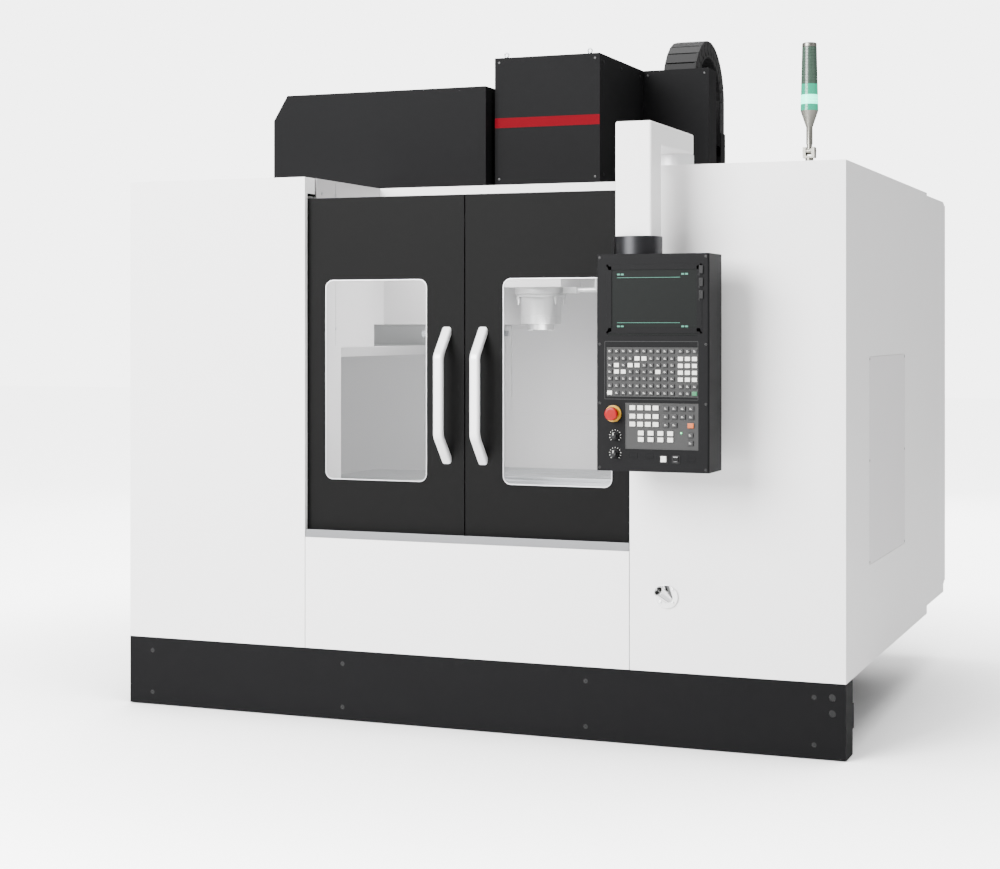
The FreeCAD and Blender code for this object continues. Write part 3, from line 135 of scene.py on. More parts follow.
@dataclass(frozen=True)
class Finish:
    """One real surface finish: its colour, gloss and the fine pattern its making leaves."""

    name: str
    colour: str
    roughness: float
    metallic: float = 0.0
    grain: Grain = Grain.EVEN
    grain_mm: float = 1.0
    relief_mm: float = 0.0
    tone: float = 0.06
    uneven: float = 0.05
    coat: float = 0.0
    alpha: float = 1.0
    specular: float = 0.5
    glow: str = ""
    glow_strength: float = 0.0

    def material(self) -> bpy.types.Material:
        """The finish as a material, made once."""
        known = bpy.data.materials.get(self.name)
        if known:
            return known
        made = bpy.data.materials.new(self.name)
        made.use_nodes = True
        tree = made.node_tree
        shader = tree.nodes["Principled BSDF"]
        shader.inputs["Metallic"].default_value = self.metallic
        shader.inputs["Coat Weight"].default_value = self.coat
        shader.inputs["Alpha"].default_value = self.alpha
        shader.inputs["Specular IOR Level"].default_value = self.specular
        if self.glow:
            shader.inputs["Emission Color"].default_value = linear(self.glow)
            shader.inputs["Emission Strength"].default_value = self.glow_strength
        self._tone(tree, shader)
        self._gloss(tree, shader)
        return made

    def _pattern(self, tree: bpy.types.NodeTree, size_mm: float, stretch: Triple) -> bpy.types.NodeSocket:
        """Noise of a real size on object coordinates.

        Args:
            tree: the material's node tree.
            size_mm: width of one blotch or line of the pattern.
            stretch: how many times longer it is along X, Y and Z.

        Returns:
            The noise's grey value.
        """
        per_metre = 1.0 / (size_mm * MM)
        place = add_node(tree, "ShaderNodeTexCoord")
        scaled = add_node(tree, "ShaderNodeMapping", {
            "Vector": place.outputs["Object"],
            "Scale": [per_metre / s for s in stretch]})
        noise = add_node(tree, "ShaderNodeTexNoise", {
            "Vector": scaled.outputs["Vector"], "Scale": 1.0, "Detail": 2.0, "Roughness": 0.55})
        return noise.outputs["Fac"]

    def _tone(self, tree: bpy.types.NodeTree, shader: bpy.types.Node) -> None:
        """Slow drift of the colour over a hand's width, as every sprayed or rolled surface has."""
        full = linear(self.colour)
        low = [c * (1.0 - self.tone) for c in full[:3]] + [1.0]
        drift = self._pattern(tree, HAND_MM, Grain.EVEN.value)
        mix = add_node(tree, "ShaderNodeMix", {"Factor": drift, MIX_LOW: low, MIX_HIGH: full},
                       data_type="RGBA")
        tree.links.new(mix.outputs[MIX_RESULT], shader.inputs["Base Color"])

    def _gloss(self, tree: bpy.types.NodeTree, shader: bpy.types.Node) -> None:
        """Uneven gloss, and the relief of texture, brush lines or casting skin."""
        fine = self._pattern(tree, self.grain_mm, self.grain.value)
        gloss = add_node(tree, "ShaderNodeMapRange", {
            "Value": fine,
            "To Min": max(0.02, self.roughness - self.uneven),
            "To Max": min(1.0, self.roughness + self.uneven)})
        tree.links.new(gloss.outputs["Result"], shader.inputs["Roughness"])
        if self.relief_mm:
            bump = add_node(tree, "ShaderNodeBump", {
                "Height": fine, "Strength": 1.0, "Distance": self.relief_mm * MM})
            tree.links.new(bump.outputs["Normal"], shader.inputs["Normal"])


# Powder coat: polyester baked on sheet steel, with a fine orange-peel drawn coarse enough to see.
WHITE_COAT = Finish("powder_coat_white", "#F6F5F5", 0.45, grain_mm=3.0, relief_mm=0.05, tone=0.02)
GREY_COAT = Finish("powder_coat_light_grey", "#B9B7B8", 0.5, grain_mm=3.0, relief_mm=0.05, tone=0.04)
DARK_COAT = Finish("powder_coat_graphite", "#101011", 0.62, grain_mm=2.5, relief_mm=0.03, tone=0.08,
                   specular=0.07)
DOOR_COAT = Finish("powder_coat_door_grey", "#0E0E0E", 0.6, grain_mm=2.5, relief_mm=0.05, tone=0.06,
                   specular=0.07)
PENDANT_COAT = Finish("powder_coat_pendant_grey", "#121213", 0.58, grain_mm=1.6, relief_mm=0.05, tone=0.05,
                      specular=0.08)
COVER_COAT = Finish("powder_coat_access_cover", "#E4E2E3", 0.5, grain_mm=3.0, relief_mm=0.05, tone=0.03)
RED_FILM = Finish("vinyl_film_red", "#64000F", 0.7, grain_mm=4.0, tone=0.04, specular=0.06)
# Metals: cast, ground, brushed, anodised and plated.
IRON_PAINT = Finish("painted_iron_casting", "#A5A7A8", 0.55, grain_mm=5.0, relief_mm=0.35, tone=0.1)
MILLED_IRON = Finish("milled_cast_iron", "#8E9093", 0.36, 1.0, Grain.ALONG_X, 1.2, 0.02, 0.12)
GROUND_STEEL = Finish("ground_steel", "#C9CBCD", 0.26, 1.0, Grain.ALONG_X, 0.8, 0.01, 0.06)
BRUSHED_STEEL = Finish("brushed_stainless_steel", "#BFC0C1", 0.34, 1.0, Grain.ALONG_Y, 0.8, 0.015, 0.06)
SATIN_ALUMINIUM = Finish("satin_anodised_aluminium", "#F6F6F7", 0.4, 0.25, Grain.ALONG_Z, 0.7, 0.012, 0.04)
BRUSHED_ALUMINIUM = Finish("brushed_aluminium", "#C8C8C9", 0.36, 1.0, Grain.ALONG_X, 0.8, 0.012, 0.05)
CHROME = Finish("chrome_plate", "#B4B5B7", 0.12, 1.0, tone=0.02, uneven=0.03, grain_mm=8.0)
BLACK_STEEL = Finish("black_oxide_steel", "#0C0C0D", 0.4, 0.3, grain_mm=1.0, relief_mm=0.01)
ZINC_STEEL = Finish("zinc_plated_steel", "#A9ABAE", 0.32, 1.0, grain_mm=2.0, relief_mm=0.01)
MOTOR_PAINT = Finish("semi_gloss_black_enamel", "#1C1C1D", 0.32, grain_mm=4.0, relief_mm=0.04, coat=0.15)
# Plastics and rubber, moulded.
BLACK_NYLON = Finish("moulded_black_nylon", "#0E0E0F", 0.5, grain_mm=1.5, relief_mm=0.03, specular=0.25)
BLACK_GLOSS = Finish("gloss_black_abs", "#121213", 0.14, grain_mm=6.0, coat=0.4, uneven=0.03)
BLACK_SILICONE = Finish("black_silicone", "#232325", 0.58, grain_mm=1.5, relief_mm=0.02)
RUBBER = Finish("black_rubber_seal", "#2A2A2B", 0.7, grain_mm=1.5, relief_mm=0.04)
GREY_KEY = Finish("moulded_key_graphite", "#161617", 0.5, grain_mm=1.5)
WHITE_KEY = Finish("moulded_key_white", "#E4E3DE", 0.4, grain_mm=1.5)
GREEN_KEY = Finish("moulded_key_green", "#176B42", 0.4, grain_mm=1.5)
ORANGE_KEY = Finish("moulded_key_orange", "#B4530F", 0.4, grain_mm=1.5)
RED_ABS = Finish("gloss_red_abs", "#8C0004", 0.3, grain_mm=5.0, specular=0.25)
YELLOW_ABS = Finish("satin_yellow_abs", "#B98A0C", 0.35, grain_mm=4.0)
WHITE_ABS = Finish("gloss_white_abs", "#ECECE8", 0.25, grain_mm=4.0, coat=0.2)
# Glass and lamps.
WINDOW_GLASS = Finish("laminated_window_glass", "#B9BCBC", 0.05, grain_mm=60.0, uneven=0.02, alpha=0.07)
SCREEN_GLASS = Finish("anti_glare_display_glass", "#090C0B", 0.5, grain_mm=30.0, uneven=0.02, specular=0.1)
SCREEN_LIGHT = Finish("display_segment_green", "#2C6E5C", 0.5, glow="#2F8F74", glow_strength=0.25)
LENS_LIT = Finish("lit_green_polycarbonate", "#0B6B55", 0.22, grain_mm=20.0, coat=0.1,
                  glow="#00A87E", glow_strength=1.1)
LENS_HOT = Finish("lit_lens_hot_spot", "#5FE8C4", 0.25, grain_mm=20.0, glow="#5CFFD8", glow_strength=3.2)
LENS_CLEAR = Finish("tinted_ribbed_polycarbonate", "#37463C", 0.25, grain_mm=20.0, coat=0.15,
                     glow="#2F9F7E", glow_strength=0.06)
CAST_NICKEL = Finish("satin_nickel_casting", "#8B8A83", 0.36, 1.0, grain_mm=3.0, relief_mm=0.02, tone=0.06)
DRUM_STEEL = Finish("turned_dark_steel", "#3A3A3C", 0.38, 1.0, Grain.ALONG_X, 0.8, 0.015, 0.05)
DULL_STEEL = Finish("rolled_sill_steel", "#7C7D7F", 0.5, 1.0, Grain.ALONG_X, 0.8, 0.015, 0.06)
LAMP_GLASS = Finish("frosted_lamp_glass", "#F4F6F4", 0.4, grain_mm=10.0, glow="#FFFFFF", glow_strength=6.0)
LED_GREEN = Finish("lit_green_led", "#59D98F", 0.3, glow="#59D98F", glow_strength=1.5)

SLOT_FINISH: dict[str, Finish] = {
    "blackened_steel": BLACK_STEEL, "cast_iron_grey": IRON_PAINT, "white_paint": WHITE_COAT,
    "light_grey_paint": GREY_COAT, "dark_grey_paint": DARK_COAT, "door_grey_paint": DOOR_COAT,
    "brushed_aluminium": BRUSHED_ALUMINIUM, "window_glass": WINDOW_GLASS,
    "satin_aluminium": SATIN_ALUMINIUM, "ground_steel": GROUND_STEEL, "motor_black": MOTOR_PAINT,
    "brushed_steel": BRUSHED_STEEL, "machined_iron": MILLED_IRON, "head_paint": GREY_COAT,
    "black_nylon": BLACK_NYLON, "pendant_grey_paint": PENDANT_COAT, "screen_glass": SCREEN_GLASS,
    "black_silicone": BLACK_SILICONE, "red_plastic": RED_ABS, "black_plastic": BLACK_NYLON,
    "white_plastic": WHITE_ABS, "lens_plastic": LENS_CLEAR, "chrome_plate": CHROME}

NODE_SLOT: dict[str, str] = {s["node"]: s["material_slot"] for s in frame["record"]["subparts"]}


# ---- bench: making and shaping a mesh -------------------------------------------------------
def deselect() -> None:
    """Leave edit mode and select nothing."""
    if bpy.context.object and bpy.context.object.mode != "OBJECT":
        bpy.ops.object.mode_set(mode="OBJECT")
    bpy.ops.object.select_all(action="DESELECT")


def activate(piece: Piece) -> None:
    """Select one piece alone and make it the active one."""
    deselect()
    piece.select_set(True)
    bpy.context.view_layer.objects.active = piece


def settle(name: str) -> Piece:
    """Name the new primitive and move its place into its mesh."""
    piece = bpy.context.object
    piece.name = name
    bpy.ops.object.transform_apply(location=True, rotation=True, scale=True)
    return piece


def block(name: str, x: Pair, y: Pair, z: Pair, round_mm: float = 0.8, steps: int = 2) -> Piece:
    """A block with rounded edges.

    Args:
        name: the piece's name.
        x: its low and high side along X.
        y: the same along Y.
        z: the same along Z.
        round_mm: the radius of its edges.
        steps: segments of the rounding.

    Returns:
        The new piece.
    """
    deselect()
    middle = at((x[0] + x[1]) / 2, (y[0] + y[1]) / 2, (z[0] + z[1]) / 2)
    size = [(pair[1] - pair[0]) * MM for pair in (x, y, z)]
    bpy.ops.mesh.primitive_cube_add(size=1.0, location=middle, scale=size)
    piece = settle(name)
    return rounded(piece, round_mm, steps) if round_mm else piece


class Axis(Enum):
    """The direction of a turned piece: the turn that brings Z there."""

    X = (0.0, math.pi / 2, 0.0)
    Y = (-math.pi / 2, 0.0, 0.0)
    Z = (0.0, 0.0, 0.0)


def rod(name: str, radius: float, length: float, middle: Triple, axis: Axis = Axis.Z,
        sides: int = 32, round_mm: float = 0.5, steps: int = 2) -> Piece:
    """A turned rod or disc with rounded rims.

    Args:
        name: the piece's name.
        radius: its radius.
        length: its length along the axis.
        middle: its centre.
        axis: the direction that it runs in.
        sides: number of flats round it.
        round_mm: the radius of its rims.
        steps: segments of the rounding.

    Returns:
        The new piece.
    """
    deselect()
    bpy.ops.mesh.primitive_cylinder_add(
        vertices=sides, radius=radius * MM, depth=length * MM, location=at(*middle), rotation=axis.value)
    piece = settle(name)
    return rounded(piece, round_mm, steps, 60.0) if round_mm else piece


def cone(name: str, low_r: float, high_r: float, length: float, middle: Triple, axis: Axis = Axis.Z,
         sides: int = 32, round_mm: float = 0.5) -> Piece:
    """A turned taper with rounded rims; low_r is the radius at its start."""
    deselect()
    bpy.ops.mesh.primitive_cone_add(
        vertices=sides, radius1=low_r * MM, radius2=high_r * MM, depth=length * MM,
        location=at(*middle), rotation=axis.value)
    piece = settle(name)
    return rounded(piece, round_mm, 2, 50.0) if round_mm else piece


def ring(name: str, radius: float, thick: float, middle: Triple, axis: Axis = Axis.Z) -> Piece:
    """A round ring of round section; thick is the radius of that section."""
    deselect()
    bpy.ops.mesh.primitive_torus_add(
        major_radius=radius * MM, minor_radius=thick * MM, major_segments=32, minor_segments=12,
        location=at(*middle), rotation=axis.value)
    return settle(name)


def rounded(piece: Piece, width_mm: float, steps: int = 2, angle: float = 30.0) -> Piece:
    """Round every edge sharper than an angle.

    Args:
        piece: the piece to work on.
        width_mm: the width of the rounding.
        steps: its segments.
        angle: edges between faces at more degrees than this are rounded.

    Returns:
        The same piece.
    """
    activate(piece)
    bevel = piece.modifiers.new("edges", "BEVEL")
    bevel.width = width_mm * MM
    bevel.segments = steps
    bevel.limit_method = "ANGLE"
    bevel.angle_limit = math.radians(angle)
    bevel.use_clamp_overlap = True
    bpy.ops.object.modifier_apply(modifier=bevel.name)
    return piece


def pick_faces(piece: Piece, test: Callable[[bpy.types.MeshPolygon], bool]) -> int:
    """Enter edit mode with only the faces selected that pass a test.

    Args:
        piece: the piece to edit.
        test: says whether a face is chosen.

    Returns:
        How many faces were chosen.
    """
    activate(piece)
    bpy.ops.object.mode_set(mode="EDIT")
    bpy.ops.mesh.select_mode(type="FACE")
    bpy.ops.mesh.select_all(action="DESELECT")
    bpy.ops.object.mode_set(mode="OBJECT")
    chosen = 0
    for face in piece.data.polygons:
        face.select = test(face)
        chosen += face.select
    bpy.ops.object.mode_set(mode="EDIT")
    return chosen


def facing(direction: Sequence[float], least: float = 0.95) -> Callable[[bpy.types.MeshPolygon], bool]:
    """A test for faces that look one way."""
    wanted = Vector(direction)
    return lambda face: face.normal.dot(wanted) > least


def sink(piece: Piece, direction: Sequence[float], rim_mm: float, depth_mm: float) -> Piece:
    """Inset the faces that look one way and push their middles in.

    Args:
        piece: the piece to work on.
        direction: where those faces look.
        rim_mm: the width of the rim that stays.
        depth_mm: how deep the middle goes; negative raises it.

    Returns:
        The same piece.
    """
    if pick_faces(piece, facing(direction)):
        bpy.ops.mesh.inset(thickness=rim_mm * MM, depth=0.0)
        shift = Vector(direction) * (-depth_mm * MM)
        bpy.ops.mesh.extrude_region_move(TRANSFORM_OT_translate={"value": shift})
    bpy.ops.object.mode_set(mode="OBJECT")
    return piece


def frame_plate(name: str, x: Pair, z: Pair, y: Pair, radius: float, band: float,
                edge_mm: float = 0.4) -> Piece:
    """A flat frame with rounded corners, open in the middle.

    Args:
        name: the piece's name.
        x: its outer sides along X.
        z: its outer sides along Z.
        y: its front and back.
        radius: the radius of its outer corners.
        band: the width of the frame.
        edge_mm: the rounding of its rims.

    Returns:
        The new piece.
    """
    piece = block(name, x, y, z, round_mm=0.0)
    activate(piece)
    bpy.ops.object.mode_set(mode="EDIT")
    bpy.ops.mesh.select_mode(type="EDGE")
    bpy.ops.mesh.select_all(action="DESELECT")
    bpy.ops.object.mode_set(mode="OBJECT")
    points = piece.data.vertices
    for edge in piece.data.edges:
        run = points[edge.vertices[0]].co - points[edge.vertices[1]].co
        edge.select = abs(run.y) > 0.9 * run.length
    bpy.ops.object.mode_set(mode="EDIT")
    bpy.ops.mesh.bevel(offset=radius * MM, segments=8, affect="EDGES")
    pick_faces(piece, lambda face: abs(face.normal.y) > 0.95)
    bpy.ops.mesh.inset(thickness=band * MM, depth=0.0)
    bpy.ops.mesh.bridge_edge_loops()
    bpy.ops.object.mode_set(mode="OBJECT")
    return rounded(piece, edge_mm, 2, 60.0) if edge_mm else piece


def carve(piece: Piece, *cutters: Piece) -> Piece:
    """Cut other pieces out of one, and remove them."""
    for cutter in cutters:
        activate(piece)
        cut = piece.modifiers.new("cut", "BOOLEAN")
        cut.operation = "DIFFERENCE"
        cut.object = cutter
        cut.solver = "EXACT"
        bpy.ops.object.modifier_apply(modifier=cut.name)
        bpy.data.objects.remove(cutter)
    return piece


def copied(piece: Piece, change: Matrix) -> Piece:
    """A copy with its own mesh, moved by a matrix."""
    twin = bpy.data.objects.new(piece.name, piece.data.copy())
    bpy.context.scene.collection.objects.link(twin)
    twin.data.transform(change)
    return twin


def repeated(piece: Piece, offsets: Iterable[Triple]) -> Piece:
    """The piece at each offset from where it stands, joined to one; the first one is moved too.

    Args:
        piece: the piece, at its base place.
        offsets: shifts in millimetres.

    Returns:
        All of them as one piece.
    """
    twins = [copied(piece, Matrix.Translation(Vector(shift) * MM)) for shift in offsets]
    name = piece.name
    bpy.data.objects.remove(piece)
    return joined(name, *twins)


def joined(name: str, *pieces: Piece) -> Piece:
    """Several pieces as one."""
    activate(pieces[0])
    for piece in pieces[1:]:
        piece.select_set(True)
    if len(pieces) > 1:
        bpy.ops.object.join()
    pieces[0].name = name
    return pieces[0]


def turned_about(piece: Piece, centre: Triple, axis: str, degrees: float) -> Piece:
    """Turn a piece's mesh about a point of the enclosure's axes."""
    point = at(*centre)
    turn = Matrix.Rotation(math.radians(degrees), 4, axis)
    piece.data.transform(Matrix.Translation(point) @ turn @ Matrix.Translation(-point))
    return piece


def turned_copies(piece: Piece, centre: Triple, axis: str, angles: Iterable[float]) -> list[Piece]:
    """Copies of a piece turned about a point, which take its place.

    Args:
        piece: the piece; it is removed.
        centre: the point of the enclosure's axes that they turn about.
        axis: the direction that they turn about.
        angles: the turn of each copy in degrees.

    Returns:
        The copies.
    """
    twins = [turned_about(copied(piece, Matrix.Identity(4)), centre, axis, angle) for angle in angles]
    bpy.data.objects.remove(piece)
    return twins


def flipped(piece: Piece, name: str) -> Piece:
    """The piece mirrored to the other side of the machine, its faces outwards again."""
    twin = copied(piece, Matrix.Scale(-1.0, 4, Vector((1, 0, 0))))
    twin.name = name
    activate(twin)
    bpy.ops.object.mode_set(mode="EDIT")
    bpy.ops.mesh.select_all(action="SELECT")
    bpy.ops.mesh.flip_normals()
    bpy.ops.object.mode_set(mode="OBJECT")
    return twin


def dress(piece: Piece, finish: Finish, body: str, replaces: Sequence[str] = ()) -> Piece:
    """Give a piece its finish and tie it to the part.

    Args:
        piece: the piece, in place.
        finish: its surface.
        body: the CAD body that it moves with.
        replaces: CAD nodes that it stands for.

    Returns:
        The same piece.
    """
    piece.data.materials.clear()
    piece.data.materials.append(finish.material())
    activate(piece)
    bpy.ops.object.shade_smooth_by_angle(angle=SMOOTH_ANGLE)
    flat = piece.modifiers.new("normals", "WEIGHTED_NORMAL")
    flat.mode = "FACE_AREA"
    flat.keep_sharp = True
    bpy.ops.object.modifier_apply(modifier=flat.name)
    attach(piece, body)
    if replaces:
        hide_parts(*replaces)
    LOG.info("%s: %d faces, rides on %s", piece.name, len(piece.data.polygons), body)
    return piece


def softened(node: str, round_mm: float, finish: Finish | None = None, steps: int = 2) -> Piece:
    """A copy of a CAD node with its loose triangles merged and its sharp edges rounded.

    Args:
        node: the CAD node that it stands for.
        round_mm: the width of the rounded edges.
        finish: its surface; the slot's own where none is given.
        steps: segments of the rounding.

    Returns:
        The new piece, which replaces the node.
    """
    source = frame["nodes"][node]
    piece = bpy.data.objects.new(node + "_finished", source.data.copy())
    bpy.context.scene.collection.objects.link(piece)
    activate(piece)
    bpy.ops.object.mode_set(mode="EDIT")
    bpy.ops.mesh.select_all(action="SELECT")
    bpy.ops.mesh.remove_doubles(threshold=0.02 * MM)
    bpy.ops.mesh.dissolve_limited(angle_limit=math.radians(0.5))
    bpy.ops.object.mode_set(mode="OBJECT")
    if piece.data.has_custom_normals:
        bpy.ops.mesh.customdata_custom_splitnormals_clear()
    if round_mm:
        rounded(piece, round_mm, steps, 40.0)
    slot = NODE_SLOT[node]
    return dress(piece, finish or SLOT_FINISH[slot], source["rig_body"], [node])


def slimmed(piece: Piece, centre: Triple, axis: Axis, radius: float, span: Pair) -> None:
    """Take a hair off a round shaft so that its facets turn freely in their bore.

    Args:
        piece: the piece that holds the shaft.
        centre: a point of its axis.
        axis: Y or Z, along which it runs.
        radius: its radius; points further out than this stay.
        span: where it starts and ends along the axis.
    """
    along = "yz".index(axis.name.lower()) + 1
    across = 3 - along
    middle, low, high = at(*centre), at(0, span[0], span[0])[along], at(0, span[1], span[1])[along]
    for point in piece.data.vertices:
        away = Vector((point.co.x - middle.x, point.co[across] - middle[across]))
        if low < point.co[along] < high and away.length < (radius + 0.1) * MM:
            point.co.x = middle.x + away.x * SHAFT_SHRINK
            point.co[across] = middle[across] + away.y * SHAFT_SHRINK


# ---- panels that keep their CAD shape, with softened edges ----------------------------------
FOLDED_SHEET = ("front_panels", "enclosure_panels", "front_skirt", "rear_cabinets", "cabinet_door",
                "interior_panels", "coolant_tank", "head_cover", "magazine_cover", "chain_trough",
                "saddle_covers", "y_cover_mid", "x_covers", "z_cover_top", "z_cover_mid")


@dataclass
class SheetWork:
    """Folded sheet and castings whose shape is the CAD's own, with rounded edges."""

    fold_mm: float = 1.1
    casting_mm: float = 5.0
    frame_mm: float = 1.5            # saddle and magazine frame
    milled_mm: float = 1.0
    turned_mm: float = 0.8
    covers_split_y: float = 1200.0   # the fixed way covers in front of this are bare steel
    stub_axis: Triple = (-590.0, 0.0, 1700.0)
    stub_r: float = 30.0             # the stub that the magazine disc turns on
    stub_y: Pair = (830.0, 899.0)
    swivel_y: float = 100.0          # the arm's roof pivot lies behind this
    swivel_top: float = 1899.5       # its disc stands below this height

    def build(self) -> None:
        """Round the edges of every large piece and finish it."""
        for node in FOLDED_SHEET:
            softened(node, self.fold_mm)
        softened("door_sill", self.fold_mm, DULL_STEEL)
        softened("access_cover", self.fold_mm, COVER_COAT)
        self._two_finishes("fixed_way_covers", GREY_COAT, at(0.0, self.covers_split_y, 0.0).y)
        for node in ("bed_casting", "column_casting"):
            softened(node, self.casting_mm, steps=3)
        softened("saddle", self.frame_mm)
        gearbox = softened("changer_gearbox", self.frame_mm)
        slimmed(gearbox, self.stub_axis, Axis.Y, self.stub_r, self.stub_y)
        for node in ("table", "tool_arm", "head_casting", "axis_motors"):
            softened(node, self.milled_mm)
        arm = softened("pendant_arm", self.milled_mm)
        arm.data.materials.append(SATIN_ALUMINIUM.material())
        swivel = at(0.0, self.swivel_y, self.swivel_top)
        for face in arm.data.polygons:
            if face.center.y > swivel.y and face.center.z < swivel.z:
                face.material_index = 1
        for node in ("spindle_cartridge", "spindle_shaft", "wash_outlet"):
            softened(node, self.turned_mm)

    def _two_finishes(self, node: str, rear: Finish, split_y: float) -> None:
        """Soften a node whose rear solid is painted and whose front one is bare steel.

        Args:
            node: the CAD node.
            rear: the finish of what lies behind the split.
            split_y: where it splits, in the row frame.
        """
        piece = softened(node, self.fold_mm)
        piece.data.materials.append(rear.material())
        for face in piece.data.polygons:
            if face.center.y > split_y:
                face.material_index = 1


# ---- front: fixings, doors, outlet ----------------------------------------------------------
@dataclass
class Fixings:
    """Screws of the skirt, the side cover and the panels, and the two skirt plugs."""

    head_r: float = 8.0
    small_r: float = 5.0
    skirt_x: Sequence[float] = (-1185.0, -439.0, 433.0, 1178.0)
    skirt_z: Sequence[float] = (45.0, 192.0)
    plug_r: float = 11.0
    plug_x: float = 1235.0
    plug_z: Sequence[float] = (145.0, 194.0)
    cover_y: Sequence[float] = (394.0, 1062.0)
    cover_z: Sequence[float] = (569.0, 900.0, 1231.0)

    def _screw(self, radius: float, place: Triple, axis: Axis, inward: Triple) -> Piece:
        """A screw head, its socket sunk against the inward direction."""
        head = rod("screw", radius, 2.6, place, axis, 28, 0.5)
        outward = Vector(inward) * -1.0
        pick_faces(head, facing(outward, 0.99))
        bpy.ops.mesh.inset(thickness=radius * 0.42 * MM, depth=0.0)
        bpy.ops.mesh.extrude_region_move(TRANSFORM_OT_translate={"value": Vector(inward) * 1.6 * MM})
        bpy.ops.object.mode_set(mode="OBJECT")
        return head

    def build(self) -> None:
        """Make all the fixings as one piece."""
        inward_y = (0.0, 1.0, 0.0)
        skirt = self._screw(self.head_r, (0, 1.2, 0), Axis.Y, inward_y)
        skirt = repeated(skirt, [(x, 0, z) for x in self.skirt_x for z in self.skirt_z])
        plug = rod("plug", self.plug_r, 8.0, (self.plug_x, 4.6, 0), Axis.Y, 32, 1.2)
        sink(plug, (0, -1, 0), 3.0, 0.8)
        plug = repeated(plug, [(0, 0, z) for z in self.plug_z])
        side = self._screw(self.small_r, (HALF_W - 1.2, 0, 0), Axis.X, (-1.0, 0.0, 0.0))
        side = repeated(side, [(0, y, z) for y in self.cover_y for z in self.cover_z])
        fixings = joined("panel_fixings", skirt, plug, side)
        dress(fixings, BLACK_STEEL, "machine", ["panel_screws"])


@dataclass
class SlidingDoors:
    """Two sliding doors: graphite sheet, clear window, seal and bar handle."""

    window_x: Pair = (137.0, 515.0)
    window_z: Pair = (816.0, 1496.0)
    seal_w: float = 3.2
    corner_r: float = 28.0
    handle_x: float = 65.0
    handle_z: Pair = (879.0, 1336.0)

    def _seal(self) -> Piece:
        """The light rim that lines the window opening."""
        x = (self.window_x[0] - 0.2, self.window_x[1] + 0.2)
        z = (self.window_z[0] - 0.2, self.window_z[1] + 0.2)
        return frame_plate("right_window_rim", x, z, (24.0, 28.0), self.corner_r, self.seal_w)

    def _foot_caps(self) -> Piece:
        """Two low washers where the handle is screwed to the door."""
        cap = rod("foot", 13.0, 1.6, (self.handle_x, 24.4, 0), Axis.Y, 32, 0.5)
        return repeated(cap, [(0, 0, self.handle_z[0] + 15), (0, 0, self.handle_z[1] - 15)])

    def _stiffeners(self) -> Piece:
        """Three sunk stiffening plates on the inner side of the door."""
        pieces = [block("stiffener", (18.0, 118.0), (28.0, 44.0), (900.0, 940.0), 3.0),
                  block("stiffener", (18.0, 118.0), (28.0, 44.0), (1400.0, 1440.0), 3.0),
                  block("stiffener", (540.0, 620.0), (28.0, 44.0), (1100.0, 1200.0), 3.0)]
        return joined("right_door_stiffeners", *[sink(p, (0, 1, 0), 6.0, 3.0) for p in pieces])

    def build(self) -> None:
        """Make both doors."""
        rim, caps, ribs = self._seal(), self._foot_caps(), self._stiffeners()
        caps.name = "right_handle_feet"
        for side in ("right", "left"):
            body = f"{side}_door"
            softened(f"{side}_door_panel", 1.1)
            softened(f"{side}_door_handle", 0.0)
            softened(f"{side}_door_glass", 0.4)
            made = (rim, caps, ribs)
            if side == "left":
                made = tuple(flipped(p, p.name.replace("right", "left")) for p in made)
            dress(made[0], BRUSHED_ALUMINIUM, body)
            dress(made[1], SATIN_ALUMINIUM, body)
            dress(made[2], DOOR_COAT, body)


@dataclass
class WashOutlet:
    """Washers under the four screws of the chromed wash outlet."""

    x: float = 706.0
    z: float = 479.0
    ring_r: float = 29.0

    def build(self) -> None:
        """Make the washers, a quarter turn apart."""
        washer = rod("outlet_washers", 7.0, 1.2, (self.x, -6.4, self.z), Axis.Y, 24, 0.3)
        turns = [math.radians(45 + 90 * i) for i in range(4)]
        washers = repeated(washer, [(self.ring_r * math.cos(a), 0, self.ring_r * math.sin(a)) for a in turns])
        dress(washers, CHROME, "machine")


